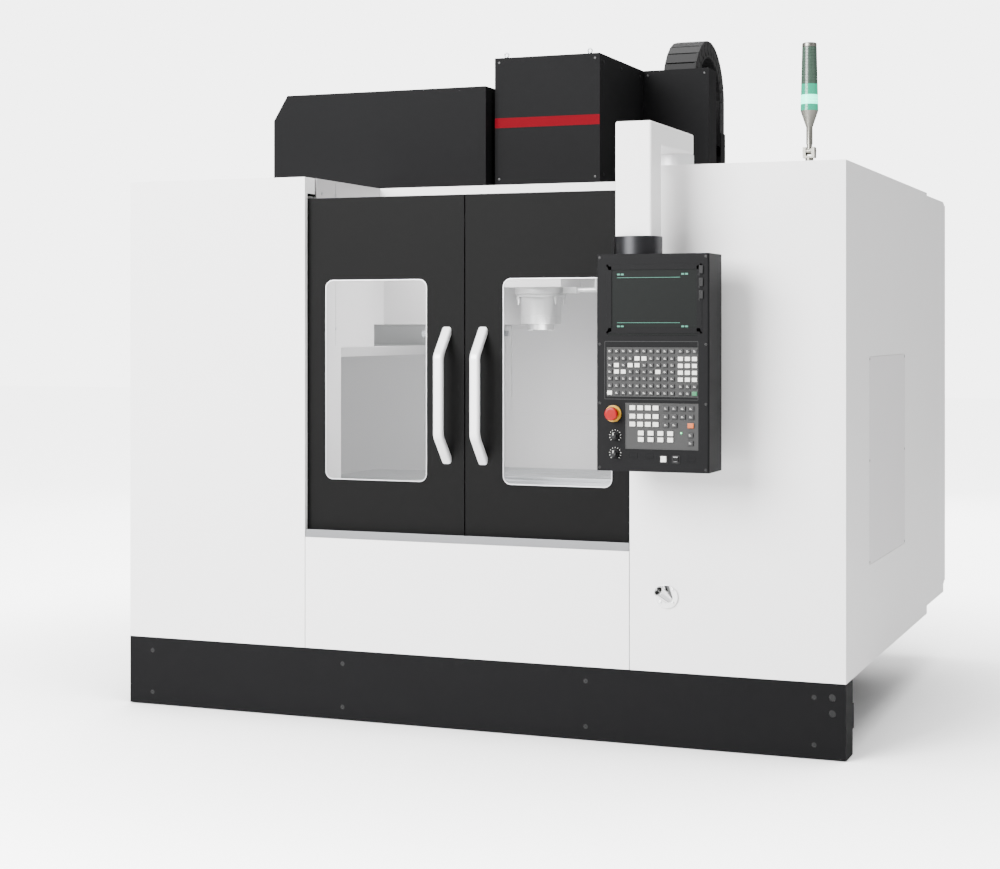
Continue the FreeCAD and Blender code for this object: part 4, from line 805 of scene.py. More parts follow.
# ---- control pendant ------------------------------------------------------------------------
@dataclass
class ControlPendant:
    """Swinging control box: display, keyboards, override knobs, emergency stop and drum."""

    x: Pair = (558.0, 915.0)
    z: Pair = (894.0, 1559.0)
    screen_x: Pair = (616.0, 857.0)
    screen_z: Pair = (1328.0, 1506.0)
    bezel_x: Pair = (590.0, 893.0)
    bezel_z: Pair = (1316.0, 1527.0)
    pitch: float = 22.0              # columns of the upper keyboard
    key_x: float = 601.0             # its first column
    pad_x: float = 826.0             # first column of its number pad
    key_rows: Sequence[float] = (1262.0, 1239.5, 1219.0, 1199.0, 1178.0, 1156.0)
    low_row: float = 1134.0
    button_z: float = 934.0
    swivel: Pair = (668.0, -183.0)
    pin_r: float = 20.0
    pin_z: Pair = (1615.0, 1665.0)
    stop: Pair = (613.0, 1070.0)
    body: str = "pendant"

    def _shell(self) -> None:
        """The sheet box, its drum and the pin in the arm."""
        shell = softened("pendant_housing", 1.2, PENDANT_COAT)
        slimmed(shell, (*self.swivel, 0.0), Axis.Z, self.pin_r, self.pin_z)
        shell.data.materials.append(DRUM_STEEL.material())
        drum_low = at(0, 0, self.z[1]).z + 0.5 * MM
        for face in shell.data.polygons:
            if face.center.z > drum_low:
                face.material_index = 1
        seam = frame_plate("pendant_seams", (584.0, 881.0), (1114.0, 1292.0), (-260.4, -259.6), 2.0, 1.2, 0.0)
        corner = rod("pendant_corner_screws", 4.2, 1.8, (0, -260.2, 0), Axis.Y, 20, 0.4)
        sink(corner, (0, -1, 0), 1.6, 0.8)
        x_at = (self.x[0] + 10, self.x[1] - 10)
        screws = repeated(corner, [(x, 0, z) for x in x_at for z in (904.0, 1102.0, 1283.0, 1549.0)])
        dress(seam, RUBBER, self.body)
        dress(screws, BLACK_STEEL, self.body)
        disc = rod("pendant_swivel_cap", 62.5, 9.0, (*self.swivel, self.z[1] + 6.0), Axis.Z, 64, 1.5)
        dress(disc, DRUM_STEEL, self.body)

    def _display(self) -> None:
        """Bezel, glass, plain marks and lines on the display, and card slots."""
        bezel = frame_plate("display_bezel", self.bezel_x, self.bezel_z, (-261.2, -258.5), 5.0, 17.0, 0.6)
        dress(bezel, PENDANT_COAT, self.body)
        softened("display_screen", 0.3)
        mark = block("soft_key_marks", (0.0, 9.0), (-259.4, -258.9), (0.0, 5.0), 0.1, 1)
        left, right = self.screen_x[0] + 8, self.screen_x[1] - 17
        low, high = self.screen_z[0] + 7, self.screen_z[1] - 12
        spots = [(x + shift, 0, z) for x, step in ((left, 12), (right, -12)) for shift in (0, step)
                 for z in (low, high)]
        thin = block("line", (0.0, 200.0), (-259.2, -258.9), (0.0, 1.2), 0.05, 1)
        lines = repeated(thin, [(left, 0, low + 13), (left, 0, high - 8)])
        lit = joined("display_marks", repeated(mark, spots), lines)
        dress(lit, SCREEN_LIGHT, self.body)
        slot_cover = block("card_slots", (884.0, 897.0), (-264.2, -262.4), (0.0, 25.0), 1.0)
        sink(slot_cover, (0, -1, 0), 2.0, 0.9)
        slots = repeated(slot_cover, [(0, 0, z - 12) for z in (1509.0, 1471.0, 1433.0)])
        dress(slots, BLACK_NYLON, self.body)

    def _key(self, wide: float, tall: float) -> Piece:
        """One keycap with a dished top, its front to the operator."""
        cap = block("key", (-wide / 2, wide / 2), (-263.2, -259.2), (-tall / 2, tall / 2), 0.9)
        return sink(cap, (0, -1, 0), 1.4, 0.5)

    def _keys(self, name: str, finish: Finish, places: Sequence[Pair], wide: float = 15.5,
              tall: float = 12.5) -> None:
        """A group of equal keys.

        Args:
            name: the group's name.
            finish: the colour of their caps.
            places: their X and Z.
            wide: a cap's width.
            tall: a cap's height.
        """
        keys = repeated(self._key(wide, tall), [(x, 0, z) for x, z in places])
        keys.name = name
        dress(keys, finish, self.body)
        if finish is GREY_KEY:
            bars = joined(f"{name}_marks",
                          block("bar", (-3.6, 1.0), (-263.1, -262.5), (1.0, 2.0), 0.1, 1),
                          block("bar", (-3.6, 3.2), (-263.1, -262.5), (-2.2, -1.2), 0.1, 1))
            marks = repeated(bars, [(x, 0, z) for x, z in places])
            marks.name = f"{name}_marks"
            dress(marks, WHITE_KEY, self.body)

    def _keyboard(self) -> None:
        """Two mats and all their keys, by colour."""
        upper = block("upper", (590.3, 881.7), (-259.5, -257.0), (1122.3, 1273.7), 0.6)
        lower = block("lower", (650.3, 881.7), (-259.5, -257.0), (962.3, 1103.7), 0.6)
        mats = joined("key_mats_finished", *[sink(mat, (0, -1, 0), 2.0, 0.6) for mat in (upper, lower)])
        dress(mats, BLACK_SILICONE, self.body, ["key_mats"])
        pad = [self.pad_x + self.pitch * c for c in range(3)]
        white: list[Pair] = [(x, 1239.0 - 21 * r) for r in range(4) for x in pad]
        grey: list[Pair] = [(x, z) for x in pad for z in (1262.0, 1155.0)]
        for z, light in zip(self.key_rows, ((), (4, 5), (1, 3, 4), (1, 2, 7), (), ())):
            for column in range(10):
                spot = (self.key_x + self.pitch * column, z)
                (white if column in light else grey).append(spot)
        white.append((self.key_x, self.low_row))
        grey += [(self.key_x + self.pitch * c, self.low_row) for c in range(1, 10)]
        grey += [(self.pad_x + self.pitch * c, self.low_row) for c in range(2)]
        big_white = [(674.0 + 24.6 * c, z) for c in range(4) for z in (1089.0, 1063.0, 1039.0)]
        big_white += [(701.0 + 31.0 * c, 1012.0 - 19.5 * r) for c in range(4) for r in range(2)]
        dark = [(779.0 + 26.4 * c, z) for c in range(4) for z in (1088.0, 1063.0)]
        dark += [(805.4, 1038.0), (779.0, 1038.0)]
        self._keys("keys_white", WHITE_KEY, white)
        self._keys("keys_grey", GREY_KEY, grey)
        self._keys("keys_green", GREEN_KEY, [(870.0, self.low_row)])
        self._keys("keys_panel_white", WHITE_KEY, big_white, 18.0, 14.0)
        self._keys("keys_panel_grey", GREY_KEY, dark, 19.0, 15.0)
        self._keys("keys_orange", ORANGE_KEY, [(858.0, 1037.0)], 19.0, 15.0)
        self._keys("keys_side", GREY_KEY, [(856.0, 1008.0), (856.0, 984.0)], 19.0, 15.0)
        plate = block("blank_plates", (-14.0, 14.0), (-260.8, -259.4), (-8.0, 8.0), 0.5)
        sink(plate, (0, -1, 0), 2.0, 0.5)
        blanks = repeated(plate, [(676.0, 0, 943.0), (726.0, 0, 943.0), (858.0, 0, 934.0)])
        dress(blanks, PENDANT_COAT, self.body)
        led = rod("status_led", 3.2, 3.0, (828.0, -260.4, 1014.0), Axis.Y, 20, 1.2, 3)
        dress(led, LED_GREEN, self.body)

    def _emergency_stop(self) -> None:
        """Yellow collar and the red mushroom, domed and ribbed round its rim."""
        x, z = self.stop
        collar = rod("stop_collar", 26.0, 7.0, (x, -263.0, z), Axis.Y, 48, 1.2)
        collar = carve(collar, rod("bore", 13.0, 12.0, (x, -263.0, z), Axis.Y, 32, 0.0))
        dress(collar, YELLOW_ABS, self.body)
        stem = rod("stem", 11.9, 36.0, (x, -262.0, z), Axis.Y, 32, 0.4)
        head = rod("head", 20.3, 18.0, (x, -281.6, z), Axis.Y, 48, 3.4, 4)
        pick_faces(head, facing((0, -1, 0), 0.99))
        bpy.ops.mesh.inset(thickness=5.0 * MM, depth=0.8 * MM)
        bpy.ops.object.mode_set(mode="OBJECT")
        rib = block("rib", (x - 1.0, x + 1.0), (-288.0, -275.0), (z + 19.4, z + 20.4), 0.3)
        ribs = turned_copies(rib, (x, 0, z), "Y", range(0, 360, 15))
        stop = joined("emergency_stop_finished", head, stem, *ribs)
        dress(stop, RED_ABS, "emergency_stop", ["emergency_stop"])

    def _knob(self, name: str, x: float, z: float, body: str) -> None:
        """Override knob: skirted, fluted, with a white pointer and a ring of dial ticks."""
        skirt = rod("skirt", 12.0, 4.0, (x, -266.0, z), Axis.Y, 40, 0.6)
        grip = cone("grip", 9.6, 8.6, 13.5, (x, -274.6, z), Axis.Y, 40, 0.0)
        turned_about(grip, (x, -274.6, z), "Z", 180.0)
        grip = rounded(grip, 1.0, 3, 40.0)
        rib = block("rib", (x - 0.9, x + 0.9), (-280.5, -269.0), (z + 8.4, z + 9.8), 0.3)
        ribs = turned_copies(rib, (x, 0, z), "Y", range(20, 360, 20))
        shaft = rod("shaft", 4.9, 22.0, (x, -252.0, z), Axis.Y, 24, 0.3)
        knob = joined(f"{name}_finished", skirt, grip, shaft, *ribs)
        dress(knob, BLACK_NYLON, body, [name])
        pointer = block(f"{name}_pointer", (x - 0.9, x + 0.9), (-281.9, -269.0), (z + 2.0, z + 10.4), 0.3)
        dress(pointer, WHITE_ABS, body)
        tick = block("tick", (x - 0.6, x + 0.6), (-260.5, -259.7), (z + 16.4, z + 19.4), 0.1, 1)
        ticks = turned_copies(tick, (x, 0, z), "Y", range(-135, 136, 27))
        dress(joined(f"{name}_dial", *ticks), WHITE_ABS, self.body)

    def _buttons(self) -> None:
        """The two square push buttons with their bezels."""
        z = self.button_z
        for name, x, finish in (("cycle_start_button", 773.0, WHITE_ABS),
                                ("feed_hold_button", 811.0, BLACK_GLOSS)):
            cap = block(f"{name}_finished", (x - 8.9, x + 8.9), (-265.0, -242.0), (z - 8.9, z + 8.9), 1.2, 3)
            sink(cap, (0, -1, 0), 2.0, 0.6)
            dress(cap, finish, name, [name])
            bezel = frame_plate(f"{name}_bezel", (x - 12.5, x + 12.5), (z - 12.5, z + 12.5),
                                (-261.8, -259.5), 2.5, 3.2)
            dress(bezel, BLACK_NYLON, self.body)

    def _back(self) -> None:
        """Rear cover with its column of vents."""
        cover = block("pendant_rear_cover", (574.0, 899.0), (-111.0, -109.2), (912.0, 1541.0), 0.6)
        dress(sink(cover, (0, 1, 0), 6.0, 0.5), PENDANT_COAT, self.body)
        slat = block("pendant_vents", (640.0, 833.0), (-110.6, -107.0), (0.0, 5.0), 1.0)
        vents = repeated(slat, [(0, 0, 1380.0 + 13 * i) for i in range(9)])
        dress(vents, BLACK_NYLON, self.body)

    def build(self) -> None:
        """Make the whole pendant."""
        self._shell()
        self._display()
        self._keyboard()
        self._emergency_stop()
        self._knob("feed_override_knob", 618.0, 1002.0, "feed_override_knob")
        self._knob("spindle_override_knob", 618.0, 948.0, "spindle_override_knob")
        self._buttons()
        self._back()


# ---- signal light ---------------------------------------------------------------------------
@dataclass
class SignalLight:
    """Folding signal light: cast knuckle, cone and a ringed lens, lit green at its foot."""

    x: float = 1131.0
    y: float = 150.0
    lens_low: float = 2021.0
    lens_high: float = 2236.0
    foot_r: float = 27.9
    top_r: float = 22.9
    ring_pitch: float = 9.5
    hot: Pair = (20.0, 50.0)         # the brightest stretch, above the lens's foot
    lit_h: float = 84.0              # height of the lit stretch
    cap_h: float = 14.0
    body: str = "signal_light"

    def build(self) -> None:
        """Make the lens in four stacked stretches with a cap, and finish the metal parts."""
        softened("signal_light_base", 0.8, CAST_NICKEL)
        softened("signal_light_stem", 0.8, CAST_NICKEL)
        hot_low, hot_high = (self.lens_low + rise for rise in self.hot)
        lit_top = self.lens_low + self.lit_h
        self._tier("lens_lit_foot", LENS_LIT, self.lens_low, hot_low, ["signal_light_lens"])
        self._tier("lens_hot_spot", LENS_HOT, hot_low, hot_high)
        self._tier("lens_lit_top", LENS_LIT, hot_high, lit_top)
        self._tier("lens_clear_tier", LENS_CLEAR, lit_top, self.lens_high - self.cap_h)
        cap = cone("lens_cap", 23.4, 22.4, self.cap_h, (self.x, self.y, self.lens_high - self.cap_h / 2),
                   sides=48, round_mm=3.0)
        dress(cap, CAST_NICKEL, self.body)

    def _radius(self, z: float) -> float:
        """The lens's radius at a height."""
        share = (z - self.lens_low) / (self.lens_high - self.lens_low)
        return self.foot_r + (self.top_r - self.foot_r) * share

    def _tier(self, name: str, finish: Finish, low: float, high: float, replaces: Sequence[str] = ()) -> None:
        """One tier of the lens with shallow rings moulded round it.

        Args:
            name: the piece's name.
            finish: its plastic.
            low: height of its foot.
            high: height of its top.
            replaces: CAD nodes that it stands for.
        """
        count = max(2, round((high - low) / self.ring_pitch))
        step = (high - low) / count
        rings = []
        for i in range(count):
            foot = low + step * i
            rings.append(cone("ring", self._radius(foot), self._radius(foot + step), step * 0.98,
                              (self.x, self.y, foot + step / 2), sides=48, round_mm=0.5))
        dress(joined(name, *rings), finish, self.body, replaces)


# ---- head, chain and magazine ---------------------------------------------------------------
@dataclass
class HeadDress:
    """Fittings on the head's cover, the drive motor, and the coolant nozzles at the spindle."""

    cover_x: Pair = (-140.0, 265.0)
    cover_y: Pair = (650.0, 1170.0)
    top: float = 2318.0
    band_z: Pair = (2062.0, 2098.0)
    nozzle_turns: Sequence[float] = (30.0, 150.0, 210.0, 330.0)
    body: str = "head"

    def _eyebolts(self) -> Piece:
        """Lifting eyes at the front edge of the cover's top."""
        made = []
        for x in (self.cover_x[0] + 42, self.cover_x[1] - 42):
            made.append(ring("eye", 7.5, 2.4, (x, self.cover_y[0] + 14, self.top + 11), Axis.Y))
            made.append(rod("collar", 7.5, 4.0, (x, self.cover_y[0] + 14, self.top + 1.5), sides=24))
        return joined("cover_eyebolts", *made)

    def _band(self) -> Piece:
        """A plain red band of film across the front of the cover."""
        return block("cover_band", (self.cover_x[0] + 1.2, self.cover_x[1] - 1.2),
                     (self.cover_y[0] - 0.5, self.cover_y[0] + 0.4), self.band_z, 0.15, 1)

    def _cover_screws(self) -> Piece:
        """Button screws on the cover's front and right side, and on the front of its duct."""
        side = rod("side", 5.0, 3.0, (self.cover_x[1] + 0.6, 0, 0), Axis.X, 20, 0.9)
        sink(side, (1, 0, 0), 2.0, 1.0)
        side = repeated(side, [(0, y, z) for y in (690.0, 900.0, 1130.0) for z in (1885.0, 2290.0)])
        front = rod("front", 5.0, 3.0, (0, self.cover_y[0] - 0.6, 0), Axis.Y, 20, 0.9)
        sink(front, (0, -1, 0), 2.0, 1.0)
        front = repeated(front, [(x, 0, z) for x in (-122.0, 247.0) for z in (1590.0, 1875.0, 2300.0)])
        duct = rod("duct", 4.5, 3.0, (0, 1169.4, 0), Axis.Y, 20, 0.9)
        sink(duct, (0, -1, 0), 1.8, 1.0)
        duct = repeated(duct, [(x, 0, z) for x in (284.0, 508.0) for z in (1880.0, 2298.0)])
        return joined("cover_screws", side, front, duct)

    def _nozzles(self) -> Piece:
        """Four coolant nozzles that ring the spindle nose, and their manifold."""
        made = [rod("manifold", 90.0, 9.0, (0, SPINDLE_Y, 1452.0), sides=64, round_mm=1.5)]
        bore = rod("bore", 76.0, 20.0, (0, SPINDLE_Y, 1452.0), sides=64, round_mm=0.0)
        made[0] = carve(made[0], bore)
        for turn in self.nozzle_turns:
            nut = rod("nut", 8.0, 10.0, (84.0, SPINDLE_Y, 1443.0), sides=6, round_mm=0.6)
            tip = cone("tip", 3.0, 6.0, 22.0, (84.0, SPINDLE_Y, 1429.0), sides=20, round_mm=0.4)
            made += [turned_about(p, (0, SPINDLE_Y, 0), "Z", turn) for p in (nut, tip)]
        return joined("coolant_nozzles", *made)

    def _motor(self) -> Piece:
        """Cooling ribs, fan cowl and terminal box of the spindle motor."""
        half, low, high = 83.6, 2000.0, 2275.0
        body = block("body", (-half + 4, half - 4), (SPINDLE_Y - half + 4, SPINDLE_Y + half - 4),
                     (low - 10, high), 6.0, 3)
        flange = block("flange", (-95, 95), (SPINDLE_Y - 95, SPINDLE_Y + 95), (1990.0, 2004.0), 2.0)
        sides = []
        rib = block("rib", (half - 5, half), (SPINDLE_Y - 2, SPINDLE_Y + 2), (low + 20, high - 55), 0.6, 1)
        shifts = [Matrix.Translation(Vector((0, y * MM, 0))) for y in range(-66, 67, 12)]
        for turn in (0, 90, 180, 270):
            sides += [turned_about(copied(rib, shift), (0, SPINDLE_Y, 0), "Z", turn) for shift in shifts]
        bpy.data.objects.remove(rib)
        cowl = rod("cowl", 72.0, 6.0, (0, SPINDLE_Y, high - 1.5), sides=48, round_mm=1.5)
        sink(cowl, (0, 0, 1), 8.0, 3.0)
        box = block("box", (-40, 40), (SPINDLE_Y + half - 6, SPINDLE_Y + 105), (2180.0, 2250.0), 3.0)
        return joined("spindle_motor_finished", body, flange, cowl, box, *sides)

    def build(self) -> None:
        """Make the head's fittings."""
        dress(self._eyebolts(), ZINC_STEEL, self.body)
        dress(self._band(), RED_FILM, self.body)
        dress(self._cover_screws(), BLACK_STEEL, self.body)
        dress(self._nozzles(), GROUND_STEEL, self.body)
        dress(self._motor(), MOTOR_PAINT, self.body, ["spindle_motor"])


@dataclass
class CableChain:
    """Cable chain: moulded links with waisted side plates and snap-in crossbars."""

    x: Pair = (335.0, 462.0)
    front_y: float = 1190.0
    thick: float = 65.0
    outer_r: float = 223.5
    top: float = 2453.0
    front_low: float = 1925.0
    rear_low: float = 2052.0
    pitch: float = 45.0

    def _link(self) -> Piece:
        """One link, its run along +Z, centred on X = 0 and Z = 0 at the enclosure's origin."""
        half = (self.x[1] - self.x[0]) / 2
        tall = self.thick / 2
        plates = []
        for side in (-1, 1):
            near, far = sorted((side * half, side * (half - 9)))
            plate = block("plate", (near, far), (-tall + 1, tall - 1),
                          (-self.pitch / 2 + 1, self.pitch / 2 + 6), 2.4, 2)
            inner_near, inner_far = sorted((side * (half - 8), side * (half - 15)))
            tongue = block("tongue", (inner_near, inner_far), (-tall + 5, tall - 5),
                           (-self.pitch / 2 - 8, 0), 2.0, 2)
            boss_x = side * (half - 3.6)
            boss = rod("boss", 9.0, 7.0, (boss_x, 0, self.pitch / 2 - 6), Axis.X, 20, 0.8)
            plates += [sink(plate, (side, 0, 0), 7.0, 1.2), tongue, boss]
        lid = (-self.pitch / 2 + 0.8, self.pitch / 2 + 1.5)
        bars = [block("lid", (-half + 5, half - 5), y, lid, 1.2, 2)
                for y in ((-tall + 0.5, -tall + 5), (tall - 5, tall - 0.5))]
        return joined("link", *plates, *bars)

    def _mid_r(self) -> float:
        """Radius of the bend's middle line."""
        return self.outer_r - self.thick / 2

    def _length(self) -> float:
        """Length of the chain along its middle line."""
        legs = 2 * (self.top - self.outer_r) - self.front_low - self.rear_low
        return legs + math.pi * self._mid_r()

    def _path(self, run: float) -> tuple[Vector, float]:
        """Place and turn of the chain's middle line.

        Args:
            run: distance from its front end.

        Returns:
            The point, and the turn about X in degrees.
        """
        mid_r = self._mid_r()
        mid_z = self.top - self.outer_r
        mid_y = self.front_y + self.outer_r
        middle_x = sum(self.x) / 2
        rise = mid_z - self.front_low
        bend = math.pi * mid_r
        if run < rise:
            return at(middle_x, mid_y - mid_r, self.front_low + run), 0.0
        if run < rise + bend:
            turn = (run - rise) / mid_r
            place = at(middle_x, mid_y - mid_r * math.cos(turn), mid_z + mid_r * math.sin(turn))
            return place, -math.degrees(turn)
        return at(middle_x, mid_y + mid_r, mid_z - (run - rise - bend)), -180.0

    def build(self) -> None:
        """Lay the links along the chain's line, and four cables inside them."""
        link = self._link()
        to_origin = Matrix.Translation(-at(0, 0, 0))
        total = self._length()
        count = round((total - 16) / self.pitch)
        step = (total - 22) / count
        links = []
        for i in range(count):
            place, turn = self._path(12 + step * (i + 0.5))
            bent = Matrix.Rotation(math.radians(turn), 4, "X")
            links.append(copied(link, Matrix.Translation(place) @ bent @ to_origin))
        bpy.data.objects.remove(link)
        chain = joined("cable_chain_finished", *links)
        dress(chain, BLACK_NYLON, "cable_chain", ["cable_chain"])
        cables = []
        for i, radius in enumerate((11.0, 8.0, 13.0, 9.0)):
            cables.append(self._cable(-36.0 + 24 * i, radius))
        dress(joined("chain_cables", *cables), RUBBER, "cable_chain")

    def _cable(self, shift: float, radius: float) -> Piece:
        """One cable inside the chain, swept along its middle line.

        Args:
            shift: its distance from the chain's middle along X.
            radius: its radius.

        Returns:
            The cable.
        """
        inset = 4
        curve = bpy.data.curves.new("cable", "CURVE")
        curve.dimensions = "3D"
        curve.bevel_depth = radius * MM
        curve.bevel_resolution = 3
        curve.use_fill_caps = True
        line = curve.splines.new("POLY")
        steps = 40
        line.points.add(steps)
        for i in range(steps + 1):
            place = self._path(inset + (self._length() - 2 * inset) * i / steps)[0]
            line.points[i].co = (place.x + shift * MM, place.y, place.z, 1.0)
        cable = bpy.data.objects.new("cable", curve)
        bpy.context.scene.collection.objects.link(cable)
        activate(cable)
        bpy.ops.object.convert(target="MESH")
        return bpy.context.object


@dataclass
class ToolStore:
    """Tool pots of the magazine: grooved sleeves with trunnions and an open taper."""

    x: float = -590.0
    z: float = 1700.0
    ring_r: float = 300.0
    count: int = 20
    front: float = 695.0

    def _pot(self) -> Piece:
        """The pot at the bottom of the magazine: grooved sleeve, trunnions and open taper."""
        low_z = self.z - self.ring_r
        sleeve = rod("sleeve", 29.8, 128.0, (self.x, self.front + 65, low_z), Axis.Y, 32, 1.2)
        pins = rod("pins", 5.0, 75.0, (self.x, SPINDLE_Y, low_z), Axis.X, 16, 0.6)
        taper = cone("taper", 23.2, 13.0, 68.0, (self.x, self.front + 33.9, low_z), Axis.Y, 32, 0.0)
        pot = carve(joined("pot", sleeve, pins), taper)
        groove = rod("groove", 31.0, 5.0, (self.x, self.front + 100, low_z), Axis.Y, 32, 0.0)
        inner = rod("inner", 27.5, 6.0, (self.x, self.front + 100, low_z), Axis.Y, 32, 0.0)
        return carve(pot, carve(groove, inner))

    def build(self) -> None:
        """Make the pots and soften the disc."""
        softened("magazine_disc", 0.8)
        softened("arm_shaft", 0.6)
        pot = self._pot()
        step = 360.0 / self.count
        ring_pots = [turned_about(copied(pot, Matrix.Identity(4)), (self.x, 0, self.z), "Y", -step * i)
                     for i in range(1, self.count)]
        pots = joined("tool_pots_finished", *ring_pots)
        dress(pots, BLACK_NYLON, "magazine_disc", ["tool_pots"])
        pot.name = "change_pot_finished"
        dress(pot, BLACK_NYLON, "change_pot", ["change_pot"])


# ---- work space, rear and feet --------------------------------------------------------------
LOUVRE_PITCH = 16.0


@dataclass
class WorkSpace:
    """Lamp, wall screws, joint strips and wipers inside, where the windows show them."""

    wall_x: float = 577.0
    beam_y: float = 595.0

    def _wall_screws(self) -> Piece:
        """Button screws along the front edge of both inner walls."""
        made = []
        for side, axis_dir in ((1, -1), (-1, 1)):
            screw = rod("screw", 6.0, 3.0, (side * (self.wall_x - 0.8), 0, 0), Axis.X, 20, 1.0)
            sink(screw, (axis_dir, 0, 0), 2.4, 1.2)
            spots = [(0, y, z) for y in (120.0, 228.0) for z in (1330.0, 1560.0, 1800.0)]
            made.append(repeated(screw, spots))
        return joined("wall_screws", *made)

    def _joint_strips(self) -> Piece:
        """Folded cover strips over the upright joints of the inner walls."""
        made = []
        for side in (-1, 1):
            x = sorted((side * (self.wall_x - 1.6), side * (self.wall_x + 0.4)))
            made.append(block("strip", (x[0], x[1]), (226.0, 233.0), (1270.0, 1846.0), 0.5))
        return joined("wall_joint_strips", *made)

    def _lamp(self) -> tuple[Piece, Piece]:
        """Tube lamp under the header beam, with its end caps."""
        tube = rod("lamp_tube", 16.0, 520.0, (0, self.beam_y + 16, 1732.0), Axis.X, 32, 2.0)
        caps = rod("lamp_caps", 18.0, 26.0, (-262.0, self.beam_y + 16, 1732.0), Axis.X, 32, 2.0)
        caps = repeated(caps, [(0, 0, 0), (524.0, 0, 0)])
        return tube, caps

    def _wipers(self) -> Piece:
        """Rubber wipers at the free edges of the way covers."""
        return joined("saddle_wipers",
                      block("wiper", (-329.0, 329.0), (288.0, 294.0), (634.0, 640.0), 1.0),
                      block("wiper", (-329.0, 329.0), (1434.0, 1440.0), (634.0, 640.0), 1.0))

    def build(self) -> None:
        """Make the fittings of the work space."""
        dress(self._wall_screws(), ZINC_STEEL, "machine")
        dress(self._joint_strips(), GREY_COAT, "machine")
        tube, caps = self._lamp()
        dress(tube, LAMP_GLASS, "machine")
        dress(caps, SATIN_ALUMINIUM, "machine")
        dress(self._wipers(), RUBBER, "saddle")


@dataclass
class RearFittings:
    """Louvres, locks, gland plate, main switch and coolant pump at the back."""

    door_y: float = 2048.0

    def _louvres(self, name: str, x: Pair, low: float, count: int, y: float) -> Piece:
        """A field of pressed louvres that stand in a shallow sunk plate.

        Args:
            name: the piece's name.
            x: its sides.
            low: height of its lowest louvre.
            count: number of louvres.
            y: the face that it lies on.

        Returns:
            The field as one piece.
        """
        plate = block("plate", (x[0] - 16, x[1] + 16), (y - 3.0, y - 0.3),
                      (low - 18, low + LOUVRE_PITCH * count + 10), 0.8)
        slat = block("slat", x, (y - 3.0, y + 0.0), (low, low + 9.0), 1.2)
        pick_faces(slat, facing((0, 0, -1)))
        bpy.ops.transform.translate(value=(0, -1.6 * MM, 0))
        bpy.ops.object.mode_set(mode="OBJECT")
        return joined(name, plate, repeated(slat, [(0, 0, LOUVRE_PITCH * i) for i in range(count)]))

    def _locks(self) -> Piece:
        """Quarter-turn locks down the free edge of the cabinet door."""
        plate = rod("plate", 15.0, 2.6, (468.0, self.door_y - 1.4, 0), Axis.Y, 32, 0.6)
        slot = rod("slot", 6.0, 2.8, (468.0, self.door_y - 1.4, 0), Axis.Y, 24, 0.6)
        sink(plate, (0, 1, 0), 5.0, 1.6)
        lock = joined("door_locks", plate, slot)
        return repeated(lock, [(0, 0, z) for z in (500.0, 1068.0, 1636.0)])

    def _glands(self) -> Piece:
        """Gland plate on the electrical cabinet's inner side, with blanked cable glands."""
        plate = block("plate", (436.0, 441.0), (1640.0, 1900.0), (1380.0, 1560.0), 1.0)
        nut = rod("nut", 15.0, 9.0, (432.0, 0, 0), Axis.X, 6, 1.0)
        seal = cone("seal", 8.0, 11.0, 9.0, (424.0, 0, 0), Axis.X, 24, 0.8)
        gland = joined("gland", nut, seal)
        spots = [(0, y, z) for y in (1680.0, 1730.0, 1780.0, 1830.0) for z in (1430.0, 1500.0)]
        glands = repeated(gland, spots)
        return joined("cable_gland_plate", plate, glands)

    def _main_switch(self) -> tuple[Piece, Piece]:
        """Rotary main switch on the cabinet door: its plate and its handle, which build() finishes in yellow
        and red plastic.
        """
        x, z, y = 620.0, 1560.0, self.door_y - 3
        plate = block("main_switch_plate", (x - 42, x + 42), (y - 1, y + 2.0), (z - 42, z + 42), 1.0)
        sink(plate, (0, 1, 0), 5.0, 0.6)
        disc = rod("disc", 30.0, 2.4, (x, y + 1.4, z), Axis.Y, 40, 0.8)
        grip = block("grip", (x - 8, x + 8), (y - 1, y + 2.9), (z - 27, z + 27), 1.3)
        return plate, joined("main_switch_handle", disc, grip)

    def _tank_fittings(self) -> tuple[Piece, Piece]:
        """Ribbed pump on its plate at the rear of the coolant tank, and a sight glass."""
        body = rod("pump", 62.0, 110.0, (900.0, 1390.0, 258.0), sides=40, round_mm=6.0, steps=3)
        base = block("base", (820.0, 980.0), (1310.0, 1470.0), (192.0, 204.0), 2.0)
        rib = block("rib", (960.0, 965.0), (1386.0, 1394.0), (214.0, 300.0), 1.0, 1)
        ribs = turned_copies(rib, (900.0, 1390.0, 0), "Z", range(0, 360, 20))
        pump = joined("coolant_pump", body, base, *ribs)
        gauge = block("tank_sight_glass", (1008.0, 1012.0), (700.0, 716.0), (120.0, 280.0), 1.0)
        return pump, sink(gauge, (1, 0, 0), 3.0, 0.8)

    def build(self) -> None:
        """Make the rear fittings."""
        door_field = joined("door_louvres",
                            self._louvres("a", (560.0, 840.0), 380.0, 14, self.door_y),
                            self._louvres("b", (900.0, 1180.0), 1520.0, 14, self.door_y))
        dress(door_field, WHITE_COAT, "cabinet_door")
        dress(self._locks(), BLACK_STEEL, "cabinet_door")
        plate, handle = self._main_switch()
        dress(plate, YELLOW_ABS, "cabinet_door")
        dress(handle, RED_ABS, "cabinet_door")
        left_field = self._louvres("service_louvres", (-1120.0, -600.0), 420.0, 18, self.door_y)
        dress(left_field, WHITE_COAT, "machine")
        dress(self._glands(), ZINC_STEEL, "machine")
        pump, gauge = self._tank_fittings()
        dress(pump, MOTOR_PAINT, "machine")
        dress(gauge, SCREEN_GLASS, "machine")


